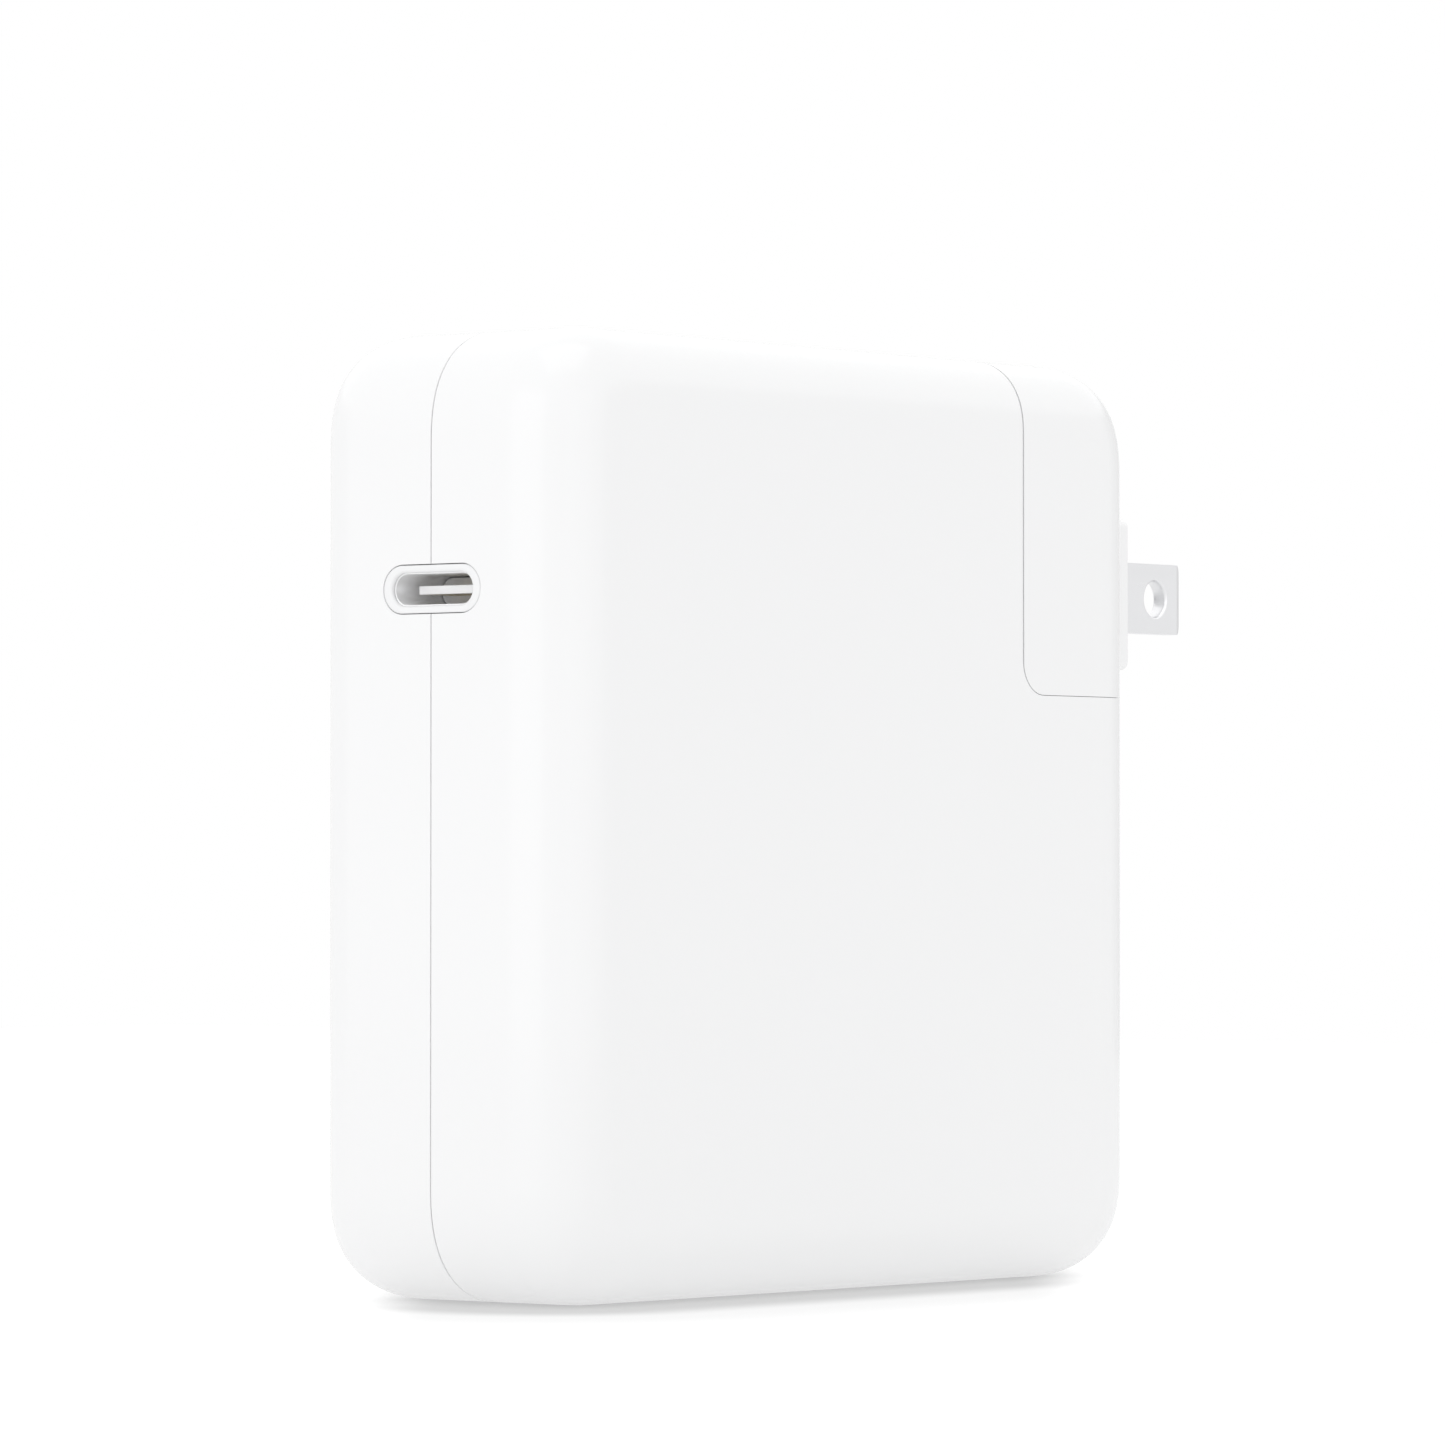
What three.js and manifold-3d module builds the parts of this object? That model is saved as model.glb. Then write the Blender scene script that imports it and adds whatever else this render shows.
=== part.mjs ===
// Laptop power adapter. A square two-shell housing stands on one narrow side. Its reversible
// power port is on the left, and a plug module slides up off its right-hand corner. The module's
// two blades fold up together into slots.
// Millimetres: X points towards the blades, Y away from the front face and Z up. The origin is
// the middle of the narrow face that the adapter stands on.
import * as THREE from "three";
import { mergeVertices } from "three/addons/utils/BufferGeometryUtils.js";
import Module from "manifold-3d";

const wasm = await Module();
wasm.setup();

// ---- Driving dimensions ----

// Housing
const bodyWidth = 80;
const bodyHeight = 80;
const bodyDepth = 28.4;
const cornerReach = 9.6; // length of a corner's curve along each side, seen from the front
const cornerPower = 2.4; // exponent of that superellipse: 2 is a circle
const leastReach = 0.3; // of a corner's curve well inside the wall
const edgeReach = 6.5; // length of the curve between a side and the front or rear face
const edgePower = 2.3; // exponent of that curve
const wall = 2;
const seamOffset = 0.1; // the seam between the shells lies this far behind the middle
const lipDepth = 1.2; // how far the front shell's lip enters the rear shell
const fitGap = 0.15; // clearance round pieces that are fitted together
const runGap = 0.3; // clearance round pieces that slide or turn
const snugGap = 0.1; // clearance round pieces that are pressed or soldered together
const blend = 0.5; // how far shapes reach into each other where they make one piece
const past = 1; // how far a cut runs on past the face that it opens

// Plug module
const plugWidth = 18.2;
const plugHeight = 29.2;
const plugCorner = 3; // radius of the module's lower inner corner
const plugSeam = 0.15; // gap between the module and the housing
const coverThickness = 1.6;
const coverInset = 1.6; // rim of the module's shell round its cover
const coverSeat = 0.9; // width of the step that the cover lies on
const coverCorner = 5;
const sillHeight = 3.9; // floor of the module's shell, up to the cover's lower edge
const supportWall = 1.1; // thin walls inside the module, round the blade slots and the pivot

// Figure-8 inlet under the module
const inletLobe = 3.8; // radius of each lobe of the nose
const inletLobeSpacing = 5.8;
const inletWaist = 6.1; // width between the lobes
const inletInset = 9; // from the end face to the nose's axis
const noseLength = 11.5;
const noseEdge = 0.6; // bevel round the nose's tip
const socketWall = 1.4;
const socketFloor = 1.5;
const legThickness = 2.6; // upright of the inlet block, behind the notch's wall
const legWidth = 12;
const pinSpacing = 8.6;
const pinRadius = 1.2;
const pinLength = 9.6;
const pinTip = 0.5;
const pinTailRadius = 0.8;
const pinTailDrop = 1.6; // of the far pin's tail, under the block
const pinTailStep = 2.8; // further drop of the near pin's tail
const pinTailEnd = 0.6; // soldered end behind the board
const sleeveWall = 0.45;
const sleeveInset = 1.5; // from the nose's tip
const sleeveSplit = 0.6;
const stripThickness = 0.5;
const stripWidth = 1.8;

// Mushroom post that guides the module
const postRise = 11.5; // above the ledge that the module stands on
const postStemRadius = 2.1;
const postHeadRadius = 3.7;
const postHeadThickness = 1.3;
const postLip = 1.5; // thickness of the module's lips in front of the post's head
const postBackWall = 1.1; // wall of the T-slot behind the head
const rivetRadius = 3;
const rivetThickness = 1.2;
const ringThickness = 0.8;
const ringLip = 0.8; // beyond the rivet's head
const ringTailWidth = 3;

// Blades, 12.7 mm apart as on a North American outlet
const bladeSpacing = 12.7;
const bladeWidth = 6.3;
const bladeThickness = 1.5;
const bladeReach = 14.1; // beyond the raised pad
const bladeHoleRadius = 1.6;
const bladeHoleEdge = 0.4; // slope round the hole at both faces
const bladeHoleFromTip = 4.3;
const bladeTipRadius = 0.6;
const bladeTipTaper = 1.4; // length over which both faces slope to the tip
const bladeTipEdge = 0.3; // thickness left at the tip
const bladeRise = 9.3; // above the ledge
const pivotInset = 2.8; // behind the end face
const pivotDrop = 2.1; // below the middle of the blades
const hubRadius = 3;
const axleRadius = 1.2;
const detentFlat = 0.25; // how deep the two flats on the bridge are
const padThickness = 1.6;
const padHeight = 13.4;
const padWidth = 22;
const padCorner = 1.6;
const axleGap = 0.08; // clearance round the axle in its bearings
const axleOverhang = 1.4; // of each end, beyond the wall that carries it
const fingerDrop = 0.6; // of the contacts' fingers, below the pivot
const springThickness = 0.4;
const springWidth = 8.4;
const springHeight = 4.8;
const spineWidth = 6; // cover's rib behind the spring
const spineHeight = 4;
const stopHeight = 2.8; // cover's posts behind the axle's ends

// Power port
const portHeight = 58.5; // height of its axis
const portLength = 10.5; // of the bezel, along Y
const portWidth = 4.2;
const portOpeningLength = 8.6;
const portOpeningWidth = 2.7;
const portDepth = 7.6;
const portSteel = 0.3;
const portSteelInset = 0.9; // behind the bezel's face
const bezelDepth = 3;
const bezelEdge = 0.4; // slope round the mouth
const bezelFlange = 0.8;
const bezelLip = 1; // of the flange, beyond the bezel
const tongueLength = 6.7; // along Y
const tongueThickness = 0.5;
const tongueInset = 2.2; // from the bezel's face
const tongueRoot = 2.4; // block behind the tongue
const contactThickness = 0.1;
const contactWidth = 0.28;
const contactPitch = 0.5;
const contactCount = 12;
const contactInset = 0.5; // from the tongue's front
const carrierWidth = 0.5; // strip that joins a row of contacts
const portBoardGap = 0.5; // behind the steel shell
const portBoardThickness = 1;
const portBoardHeight = 18;

// Circuit board
const boardThickness = 1.6;
const boardGap = 1.2; // between its edge and the housing's wall
const boardRoom = 4.1; // behind the board, inside the rear shell's wall
const boardCorner = 7;
const standoffRadius = 2;
const standoffInset = 3.5; // from the board's edges
const spreaderThickness = 0.6;
const spreaderInset = 7.5; // from the housing's sides

// Parts that stand on the board
const partGap = 1.6; // between neighbours
const bulkRadius = 7.5;
const bulkLength = 26;
const outputCanRadius = 4;
const outputCanHeight = 13;
const outputCanCount = 3;
const canEdge = 0.6; // rounding of a capacitor's rims
const canGroove = 0.5; // depth of the groove near its foot
const canGrooveRise = 3.8; // of the groove above that foot
const yCapacitorRadius = 3.6;
const yCapacitorThickness = 4;
const filmCapacitorRise = 14;
const caseCorner = 0.8;
const fuseWidth = 4.2;
const fuseLength = 8.2;
const fuseDepth = 8;
const rectifierWidth = 16;
const rectifierThickness = 3.6;
const rectifierRise = 12;
const rectifierBevel = 2.5;
const rectifierHole = 1.4; // radius
const inputChokeSize = 14;
const inputChokeLeg = 3.2;
const inputChokeDepth = 6;
const inputChokeFoot = 2;
const windingThickness = 1.3;
const outputChokeRadius = 6;
const outputChokeBore = 2.8; // radius
const outputChokeRise = 6;
const transformerWidth = 24;
const transformerLength = 20;
const transformerRise = 15;
const corePlate = 3.2; // of the transformer's ferrite, at the front and the rear
const corePost = 4.8; // radius of the ferrite inside the bobbin
const coreWell = 9.2; // radius of the hollow round it
const coreMouth = 12; // width of the openings above and below
const bobbinWall = 0.8;
const switchSize = 9;
const switchRise = 2.3;
const padMargin = 0.5; // of the thermal pad, beyond the switches

const roundSteps = 10; // facets across a housing corner
const edgeSteps = 8;
const circleFacets = 20; // facets in a full circle

// ---- Places worked out from them ----

const halfWidth = bodyWidth / 2;
const halfDepth = bodyDepth / 2;
const notchX = halfWidth - plugWidth;
const ledgeZ = bodyHeight - plugHeight;
const moduleX = notchX + plugSeam;
const moduleZ = ledgeZ + plugSeam;
const far = 2 * (bodyWidth + bodyHeight + bodyDepth); // past everything

const noseX = halfWidth - inletInset;
const noseTipZ = moduleZ - noseLength;
const socketFloorZ = noseTipZ - runGap;
const socketBaseZ = socketFloorZ - socketFloor;
const legBackX = notchX - wall - legThickness;
const sleeveRadius = pinRadius + snugGap + sleeveWall;
const waistAngle = Math.acos(inletWaist / (2 * inletLobe));

const slotHeadX = moduleX + postLip; // front of the T-slot's wide part
const slotBackX = slotHeadX + postHeadThickness + 2 * runGap;
const postZ = ledgeZ + postRise;

const bladeZ = ledgeZ + bladeRise;
const padFaceX = halfWidth + padThickness;
const bladeTipX = padFaceX + bladeReach;
const pivotX = halfWidth - pivotInset;
const pivotZ = bladeZ - pivotDrop;
const bladeSlotHalf = bladeThickness / 2 + runGap;
const foldedBack = pivotX - pivotDrop - bladeWidth / 2; // rear edge of a folded blade
const tipSweep = Math.hypot(
  bladeTipX - pivotX - bladeTipRadius,
  pivotDrop + bladeWidth / 2 - bladeTipRadius,
);
const bladeSlot = {
  back: foldedBack - runGap,
  bottom: pivotZ - hubRadius - runGap,
  top: pivotZ + tipSweep + bladeTipRadius + runGap,
};

const boardRear = halfDepth - wall - boardRoom;
const boardFront = boardRear - boardThickness;
const boardLeft = -halfWidth + wall + boardGap;
const boardRight = halfWidth - wall - boardGap;
const boardBottom = wall + boardGap;
const boardTop = bodyHeight - wall - boardGap;

const portFaceX = -halfWidth;
const steelFrontX = portFaceX + portSteelInset;
const steelRearX = steelFrontX + portDepth;
const portBoardX = steelRearX + portBoardGap;
const tongueFrontX = portFaceX + tongueInset;
const tongueRootX = portBoardX - tongueRoot;

const sillTopZ = moduleZ + sillHeight;
const wallOuterY = bladeSpacing / 2 + bladeSlotHalf + supportWall;
const axleHalf = wallOuterY + axleOverhang;
const springFaceX = pivotX - hubRadius - snugGap;

const bulkZ = boardBottom + partGap + bulkRadius;
const middleRowZ = bulkZ + bulkRadius + partGap;
const outputCanX = portBoardX + portBoardThickness + partGap + outputCanRadius;
const transformerX = (outputCanX + outputCanRadius + legBackX) / 2;

// ---- Materials ----

function material(color, roughness, metalness = 0) {
  return new THREE.MeshStandardMaterial({ color, roughness, metalness });
}

const finishes = {
  whiteGloss: () => material(0xf1f2f3, 0.18),
  whiteMatt: () => material(0xe4e5e6, 0.55),
  bezelWhite: () => material(0xf4f5f6, 0.3),
  nickel: () => material(0xc9c8c5, 0.28, 1),
  steel: () => material(0xb7b9bd, 0.35, 1),
  gold: () => material(0xd6b25e, 0.3, 1),
  copper: () => material(0xb56d44, 0.45, 1),
  aluminium: () => material(0xbfc1c4, 0.4, 1),
  boardGreen: () => material(0x1f5a3a, 0.6),
  black: () => material(0x1b1c1e, 0.5),
  ferrite: () => material(0x33343a, 0.7),
  yellow: () => material(0xd8b13a, 0.5),
  blue: () => material(0x2f62a8, 0.45),
  sleeve: () => material(0x2a3038, 0.4),
};

// ---- Solids ----

function solidOf(geometry) {
  const bare = geometry.index ? geometry.toNonIndexed() : geometry.clone();
  bare.deleteAttribute("normal");
  bare.deleteAttribute("uv");
  const merged = mergeVertices(bare, 1e-4);
  const vertProperties = merged.attributes.position.array;
  const triVerts = new Uint32Array(merged.index.array);
  return new wasm.Manifold(new wasm.Mesh({ numProp: 3, vertProperties, triVerts }));
}

function geometryOf(solid) {
  const mesh = solid.getMesh();
  const geometry = new THREE.BufferGeometry();
  geometry.setAttribute("position", new THREE.BufferAttribute(mesh.vertProperties, 3));
  geometry.setIndex(new THREE.BufferAttribute(mesh.triVerts, 1));
  geometry.computeVertexNormals();
  return geometry;
}

function joined(solids) {
  return solids.reduce((whole, piece) => whole.add(piece));
}

function cut(solid, ...tools) {
  return tools.reduce((left, tool) => left.subtract(tool), solid);
}

// A block between two values on each axis.
function box([x0, x1], [y0, y1], [z0, z1]) {
  const geometry = new THREE.BoxGeometry(x1 - x0, y1 - y0, z1 - z0);
  geometry.translate((x0 + x1) / 2, (y0 + y1) / 2, (z0 + z1) / 2);
  return solidOf(geometry);
}

const frames = {
  x: new THREE.Matrix4().makeBasis(
    new THREE.Vector3(0, 1, 0),
    new THREE.Vector3(0, 0, 1),
    new THREE.Vector3(1, 0, 0),
  ),
  y: new THREE.Matrix4().makeBasis(
    new THREE.Vector3(1, 0, 0),
    new THREE.Vector3(0, 0, 1),
    new THREE.Vector3(0, -1, 0),
  ),
  z: new THREE.Matrix4(),
};

// An outline drawn in the two other axes, in the order X, Y, Z, extruded from one value of an
// axis to another.
function prism(points, axis, from, to) {
  const outline = new THREE.Shape(points.map(([a, b]) => new THREE.Vector2(a, b)));
  const geometry = new THREE.ExtrudeGeometry(outline, { depth: to - from, bevelEnabled: false });
  geometry.applyMatrix4(frames[axis]);
  const start = axis === "y" ? to : from;
  const shift = new THREE.Vector3().setComponent("xyz".indexOf(axis), start);
  geometry.translate(shift.x, shift.y, shift.z);
  return solidOf(geometry);
}

// Points along an arc, as many as its share of a full circle calls for.
function arc(a, b, radius, from, to) {
  const share = Math.abs(to - from) / (2 * Math.PI);
  const count = Math.round(share * circleFacets);
  return Array.from({ length: count + 1 }, (_, k) => {
    const angle = from + ((to - from) * k) / count;
    return [a + radius * Math.cos(angle), b + radius * Math.sin(angle)];
  });
}

function circle(a, b, radius) {
  return arc(a, b, radius, 0, 2 * Math.PI).slice(1);
}

function roundRect([a0, a1], [b0, b1], radius) {
  const right = Math.PI / 2;
  return [
    ...arc(a1 - radius, b0 + radius, radius, -right, 0),
    ...arc(a1 - radius, b1 - radius, radius, 0, right),
    ...arc(a0 + radius, b1 - radius, radius, right, 2 * right),
    ...arc(a0 + radius, b0 + radius, radius, 2 * right, 3 * right),
  ];
}

// A slot with round ends, drawn about a point in Y and Z.
function stadium(y, z, length, width) {
  const end = length / 2 - width / 2;
  const right = Math.PI / 2;
  return [
    ...arc(y + end, z, width / 2, -right, right),
    ...arc(y - end, z, width / 2, right, 3 * right),
  ];
}

// The figure-8 outline of the nose in X and Y, grown evenly.
function figureEight(grow) {
  const radius = inletLobe + grow;
  const y = inletLobeSpacing / 2;
  return [
    ...arc(noseX, y, radius, -waistAngle, Math.PI + waistAngle),
    ...arc(noseX, -y, radius, Math.PI - waistAngle, 2 * Math.PI + waistAngle),
  ];
}

function rod(axis, a, b, radius, from, to) {
  return prism(circle(a, b, radius), axis, from, to);
}

// Points of a superellipse quarter: each is [along, across], from [1, 0] to [0, 1].
function quarter(power, steps) {
  return Array.from({ length: steps + 1 }, (_, k) => {
    const angle = ((k / steps) * Math.PI) / 2;
    return [Math.cos(angle) ** (2 / power), Math.sin(angle) ** (2 / power)];
  });
}

// One closed ring of the housing's outline at a depth y, drawn in by an inset.
function bodyRing(y, inset) {
  const reach = Math.max(cornerReach - inset, leastReach);
  const acrossX = halfWidth - inset - reach;
  const acrossZ = bodyHeight / 2 - inset - reach;
  const curve = quarter(cornerPower, roundSteps);
  const turns = [
    [1, 1, false],
    [-1, 1, true],
    [-1, -1, false],
    [1, -1, true],
  ];
  return turns.flatMap(([signX, signZ, backwards]) => {
    const points = curve.map(([along, across]) => [
      signX * (acrossX + reach * along),
      y,
      bodyHeight / 2 + signZ * (acrossZ + reach * across),
    ]);
    return backwards ? points.reverse() : points;
  });
}

// Rings of equal length, from front to rear, skinned and capped into one closed solid.
function loft(rings) {
  const count = rings[0].length;
  const middle = (ring) =>
    [0, 1, 2].map((axis) => ring.reduce((sum, point) => sum + point[axis], 0) / count);
  const positions = [];
  const triangle = (...corners) => corners.forEach((corner) => positions.push(...corner));
  rings.slice(1).forEach((ring, layer) => {
    const before = rings[layer];
    ring.forEach((point, k) => {
      const next = (k + 1) % count;
      triangle(before[k], point, before[next]);
      triangle(before[next], point, ring[next]);
    });
  });
  const first = rings[0];
  const last = rings[rings.length - 1];
  first.forEach((point, k) => triangle(middle(first), point, first[(k + 1) % count]));
  last.forEach((point, k) => triangle(middle(last), last[(k + 1) % count], point));
  const geometry = new THREE.BufferGeometry();
  geometry.setAttribute("position", new THREE.Float32BufferAttribute(positions, 3));
  return solidOf(geometry);
}

// The housing's whole rounded form, drawn in evenly by an offset.
function pillow(offset) {
  const reach = edgeReach - offset;
  const straight = halfDepth - edgeReach;
  const curve = quarter(edgePower, edgeSteps);
  const side = curve.map(([along, across]) => [
    straight + reach * across,
    offset + reach * (1 - along),
  ]);
  const front = side.map(([y, inset]) => bodyRing(-y, inset)).reverse();
  const rear = side.map(([y, inset]) => bodyRing(y, inset));
  return loft([...front, ...rear]);
}

// The corner that the plug module fills, with its lower inner corner rounded.
function cornerBlock(x, z, radius) {
  const rounded = arc(x + radius, z + radius, radius, Math.PI, 1.5 * Math.PI);
  return prism([[far, z], [far, far], [x, far], ...rounded], "y", -far, far);
}

// The housing without the plug module's corner, drawn in evenly by an offset.
function bodyCore(offset) {
  const corner = cornerBlock(notchX - offset, ledgeZ - offset, plugCorner + offset);
  return pillow(offset).subtract(corner);
}

function between(axis, from, to) {
  const spans = ["x", "y", "z"].map((name) => (name === axis ? [from, to] : [-far, far]));
  return box(...spans);
}

const object = new THREE.Group();

function add(name, solid, finish) {
  const mesh = new THREE.Mesh(geometryOf(solid), finishes[finish]());
  mesh.name = name;
  object.add(mesh);
}

// ---- Housing ----

const standoffs = [
  [boardLeft + standoffInset, middleRowZ + standoffInset],
  [boardLeft + standoffInset, boardTop - standoffInset - partGap],
  [notchX - wall - legThickness - standoffInset, boardTop - standoffInset],
  [boardRight - standoffInset, bulkZ + bulkRadius],
];

function postHole(radius, from, to) {
  return rod("x", 0, postZ, radius, from, to);
}

function shellCuts() {
  const port = stadium(0, portHeight, portLength + 2 * fitGap, portWidth + 2 * fitGap);
  const portHole = prism(port, "x", -far, -halfWidth + bezelDepth);
  const socketHole = prism(figureEight(runGap), "z", ledgeZ - wall - past, far);
  return [portHole, socketHole, postHole(postStemRadius + fitGap, notchX - wall - past, far)];
}

function frontShell() {
  const skin = bodyCore(0).subtract(bodyCore(wall));
  const lipInset = (wall + fitGap) / 2;
  const lip = bodyCore(lipInset).subtract(bodyCore(wall));
  const front = joined([
    skin.intersect(between("y", -far, seamOffset)),
    lip.intersect(between("y", seamOffset - wall, seamOffset + lipDepth)),
  ]);
  const posts = standoffs.map(([x, z]) =>
    rod("y", x, z, standoffRadius, -halfDepth + wall / 2, boardFront - runGap),
  );
  return cut(joined([front, ...posts]), ...shellCuts());
}

function rearShell() {
  const skin = bodyCore(0).subtract(bodyCore(wall));
  const rebate = bodyCore((wall - fitGap) / 2);
  const rear = cut(
    skin.intersect(between("y", seamOffset, far)),
    rebate.intersect(between("y", seamOffset - wall, seamOffset + lipDepth + fitGap)),
  );
  const posts = standoffs.map(([x, z]) =>
    rod("y", x, z, standoffRadius, boardRear, halfDepth - wall / 2),
  );
  return cut(joined([rear, ...posts]), ...shellCuts());
}

// A plate that spreads the circuit's heat over one shell's inner face.
function spreader(from) {
  const plate = box(
    [-halfWidth + spreaderInset, legBackX],
    [from, from + spreaderThickness],
    [spreaderInset, bodyHeight - spreaderInset],
  );
  const holes = standoffs.map(([x, z]) => rod("y", x, z, standoffRadius + runGap, -far, far));
  return cut(plate, ...holes);
}

function makeHousing() {
  add("front_shell", frontShell(), "whiteGloss");
  add("rear_shell", rearShell(), "whiteGloss");
  add("heat_spreader_front", spreader(-halfDepth + wall), "aluminium");
  add("heat_spreader_rear", spreader(halfDepth - wall - spreaderThickness), "aluminium");
}

// ---- Power port ----

function steelOutline(grow) {
  const length = portOpeningLength - 2 * snugGap + 2 * grow;
  const width = portOpeningWidth - 2 * snugGap + 2 * grow;
  return stadium(0, portHeight, length, width);
}

// The mouth's opening, which slopes outwards at the bezel's face.
function portMouth() {
  const ring = (x, grow) => {
    const size = [portOpeningLength + 2 * grow, portOpeningWidth + 2 * grow];
    return stadium(0, portHeight, ...size).map(([y, z]) => [x, y, z]);
  };
  return loft([
    ring(portFaceX + bezelDepth + past, 0),
    ring(portFaceX + bezelEdge, 0),
    ring(portFaceX, bezelEdge),
    ring(portFaceX - past, bezelEdge),
  ]);
}

function portBezel() {
  const outline = stadium(0, portHeight, portLength, portWidth);
  const wider = stadium(0, portHeight, portLength + 2 * bezelLip, portWidth + 2 * bezelLip);
  const flangeX = portFaceX + wall + fitGap;
  const body = prism(outline, "x", portFaceX, portFaceX + bezelDepth);
  const flange = prism(wider, "x", flangeX, flangeX + bezelFlange);
  const seat = prism(steelOutline(portSteel + snugGap), "x", steelFrontX - snugGap, far);
  return cut(body.add(flange), portMouth(), seat);
}

function portShell() {
  const tube = prism(steelOutline(portSteel), "x", steelFrontX, steelRearX);
  return tube.subtract(prism(steelOutline(0), "x", -far, far));
}

// A thin plate whose front lip is as thick as the plate with both rows of contacts on it.
function portTongue() {
  const plate = (x, half) =>
    box(x, [-tongueLength / 2, tongueLength / 2], [portHeight - half, portHeight + half]);
  const half = tongueThickness / 2;
  return joined([
    plate([tongueFrontX, tongueFrontX + contactInset], half + contactThickness),
    plate([tongueFrontX, tongueRootX + blend], half),
    prism(steelOutline(-snugGap), "x", tongueRootX, portBoardX),
  ]);
}

// One row of contacts on the tongue, joined by the strip that they are stamped from.
function portContacts(side) {
  const inner = portHeight + (side * tongueThickness) / 2;
  const outer = inner + side * contactThickness;
  const height = [Math.min(inner, outer), Math.max(inner, outer)];
  const first = (-(contactCount - 1) / 2) * contactPitch;
  const half = contactWidth / 2;
  const strips = Array.from({ length: contactCount }, (_, k) => {
    const y = first + k * contactPitch;
    return box([tongueFrontX + contactInset, tongueRootX], [y - half, y + half], height);
  });
  const carrier = box(
    [tongueRootX - carrierWidth, tongueRootX],
    [first - half, -first + half],
    height,
  );
  return joined([...strips, carrier]);
}

function portBoard() {
  return box(
    [portBoardX, portBoardX + portBoardThickness],
    [-portLength / 2 - bezelLip, boardFront],
    [portHeight - portBoardHeight / 2, portHeight + portBoardHeight / 2],
  );
}

function makePort() {
  add("port_bezel", portBezel(), "bezelWhite");
  add("port_shell", portShell(), "steel");
  add("port_tongue", portTongue(), "bezelWhite");
  add("port_contacts_upper", portContacts(1), "gold");
  add("port_contacts_lower", portContacts(-1), "gold");
  add("port_board", portBoard(), "boardGreen");
}

// ---- Inlet and guide post in the notch ----

const pins = [
  { name: "inlet_pin_near", y: -pinSpacing / 2, tailZ: socketBaseZ - pinTailDrop - pinTailStep },
  { name: "inlet_pin_far", y: pinSpacing / 2, tailZ: socketBaseZ - pinTailDrop },
];

// The socket under the ledge and the upright that stiffens the notch's wall round the post.
function inletBlock() {
  const sideX = noseX + inletLobe + runGap + socketWall;
  const sideY = inletLobeSpacing / 2 + inletLobe + runGap + socketWall;
  const base = box([legBackX, sideX], [-sideY, sideY], [socketBaseZ, ledgeZ - wall]);
  const leg = box(
    [legBackX, notchX - wall],
    [-legWidth / 2, legWidth / 2],
    [socketBaseZ, postZ + 2 * postHeadRadius],
  );
  const socket = prism(figureEight(runGap), "z", socketFloorZ, far);
  const pinHoles = pins.map(({ y }) => rod("z", noseX, y, pinRadius + snugGap, -far, far));
  return cut(base.add(leg), socket, ...pinHoles, postHole(postStemRadius + snugGap, -far, far));
}

function inletPin({ y, tailZ }) {
  const top = socketFloorZ + pinLength;
  const tipRadius = pinRadius - pinTip / 2;
  return joined([
    rod("z", noseX, y, pinRadius, tailZ - pinTailRadius, top - pinTip),
    rod("z", noseX, y, tipRadius, tailZ, top),
    rod("y", noseX, tailZ, pinTailRadius, y, boardRear + pinTailEnd),
  ]);
}

// A stem through the notch's wall, with a wide head in front and a riveted one behind.
function guidePost() {
  const rivetX = legBackX - ringThickness - 2 * snugGap;
  const headX = slotHeadX + runGap;
  return joined([
    postHole(rivetRadius, rivetX - rivetThickness, rivetX),
    postHole(postStemRadius, rivetX - blend, headX + blend),
    postHole(postHeadRadius, headX, headX + postHeadThickness),
  ]);
}

// A ring terminal under the post's riveted head, with a tail towards the board.
function groundRing() {
  const span = [legBackX - ringThickness - snugGap, legBackX - snugGap];
  const width = [-ringTailWidth / 2, ringTailWidth / 2];
  const tail = box(span, width, [socketBaseZ + partGap, postZ - rivetRadius]);
  const ring = postHole(rivetRadius + ringLip, ...span);
  return cut(ring.add(tail), postHole(postStemRadius + snugGap, -far, far));
}

function makeInlet() {
  add("inlet_block", inletBlock(), "whiteMatt");
  pins.forEach((pin) => add(pin.name, inletPin(pin), "nickel"));
  add("guide_post", guidePost(), "nickel");
  add("ground_ring", groundRing(), "steel");
}

// ---- Circuit ----

const turnedFrames = {
  x: new THREE.Matrix4().makeBasis(
    new THREE.Vector3(0, 0, 1),
    new THREE.Vector3(1, 0, 0),
    new THREE.Vector3(0, 1, 0),
  ),
  y: new THREE.Matrix4(),
};

// A profile of [radius, along] points turned about an axis through a point.
function turned(profile, axis, [x, y, z]) {
  const points = profile.map(([radius, along]) => new THREE.Vector2(radius, along));
  const geometry = new THREE.LatheGeometry(points, circleFacets);
  geometry.applyMatrix4(turnedFrames[axis]);
  geometry.translate(x, y, z);
  return solidOf(geometry);
}

function canProfile(radius, length) {
  return [
    [0, 0],
    [radius - canEdge, 0],
    [radius, canEdge],
    [radius, canGrooveRise - canGroove],
    [radius - canGroove, canGrooveRise],
    [radius, canGrooveRise + canGroove],
    [radius, length - canEdge],
    [radius - canEdge, length],
    [0, length],
  ];
}

// The tails of the inlet's pins pass through it, and its upper right corner is cut away.
function mainBoard() {
  const outline = roundRect([boardLeft, boardRight], [boardBottom, boardTop], boardCorner);
  const plate = prism(outline, "y", boardFront, boardRear);
  const corner = box(
    [legBackX - boardGap, far],
    [-far, far],
    [socketBaseZ - pinTailDrop + pinTailRadius + snugGap, far],
  );
  const ways = pins.flatMap(({ y, tailZ }) => [
    rod("y", noseX, tailZ, pinTailRadius + snugGap, -far, far),
    rod("z", noseX, y, pinRadius + snugGap, tailZ - pinTailRadius - snugGap, far),
  ]);
  return cut(plate, corner, ...ways);
}

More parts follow.
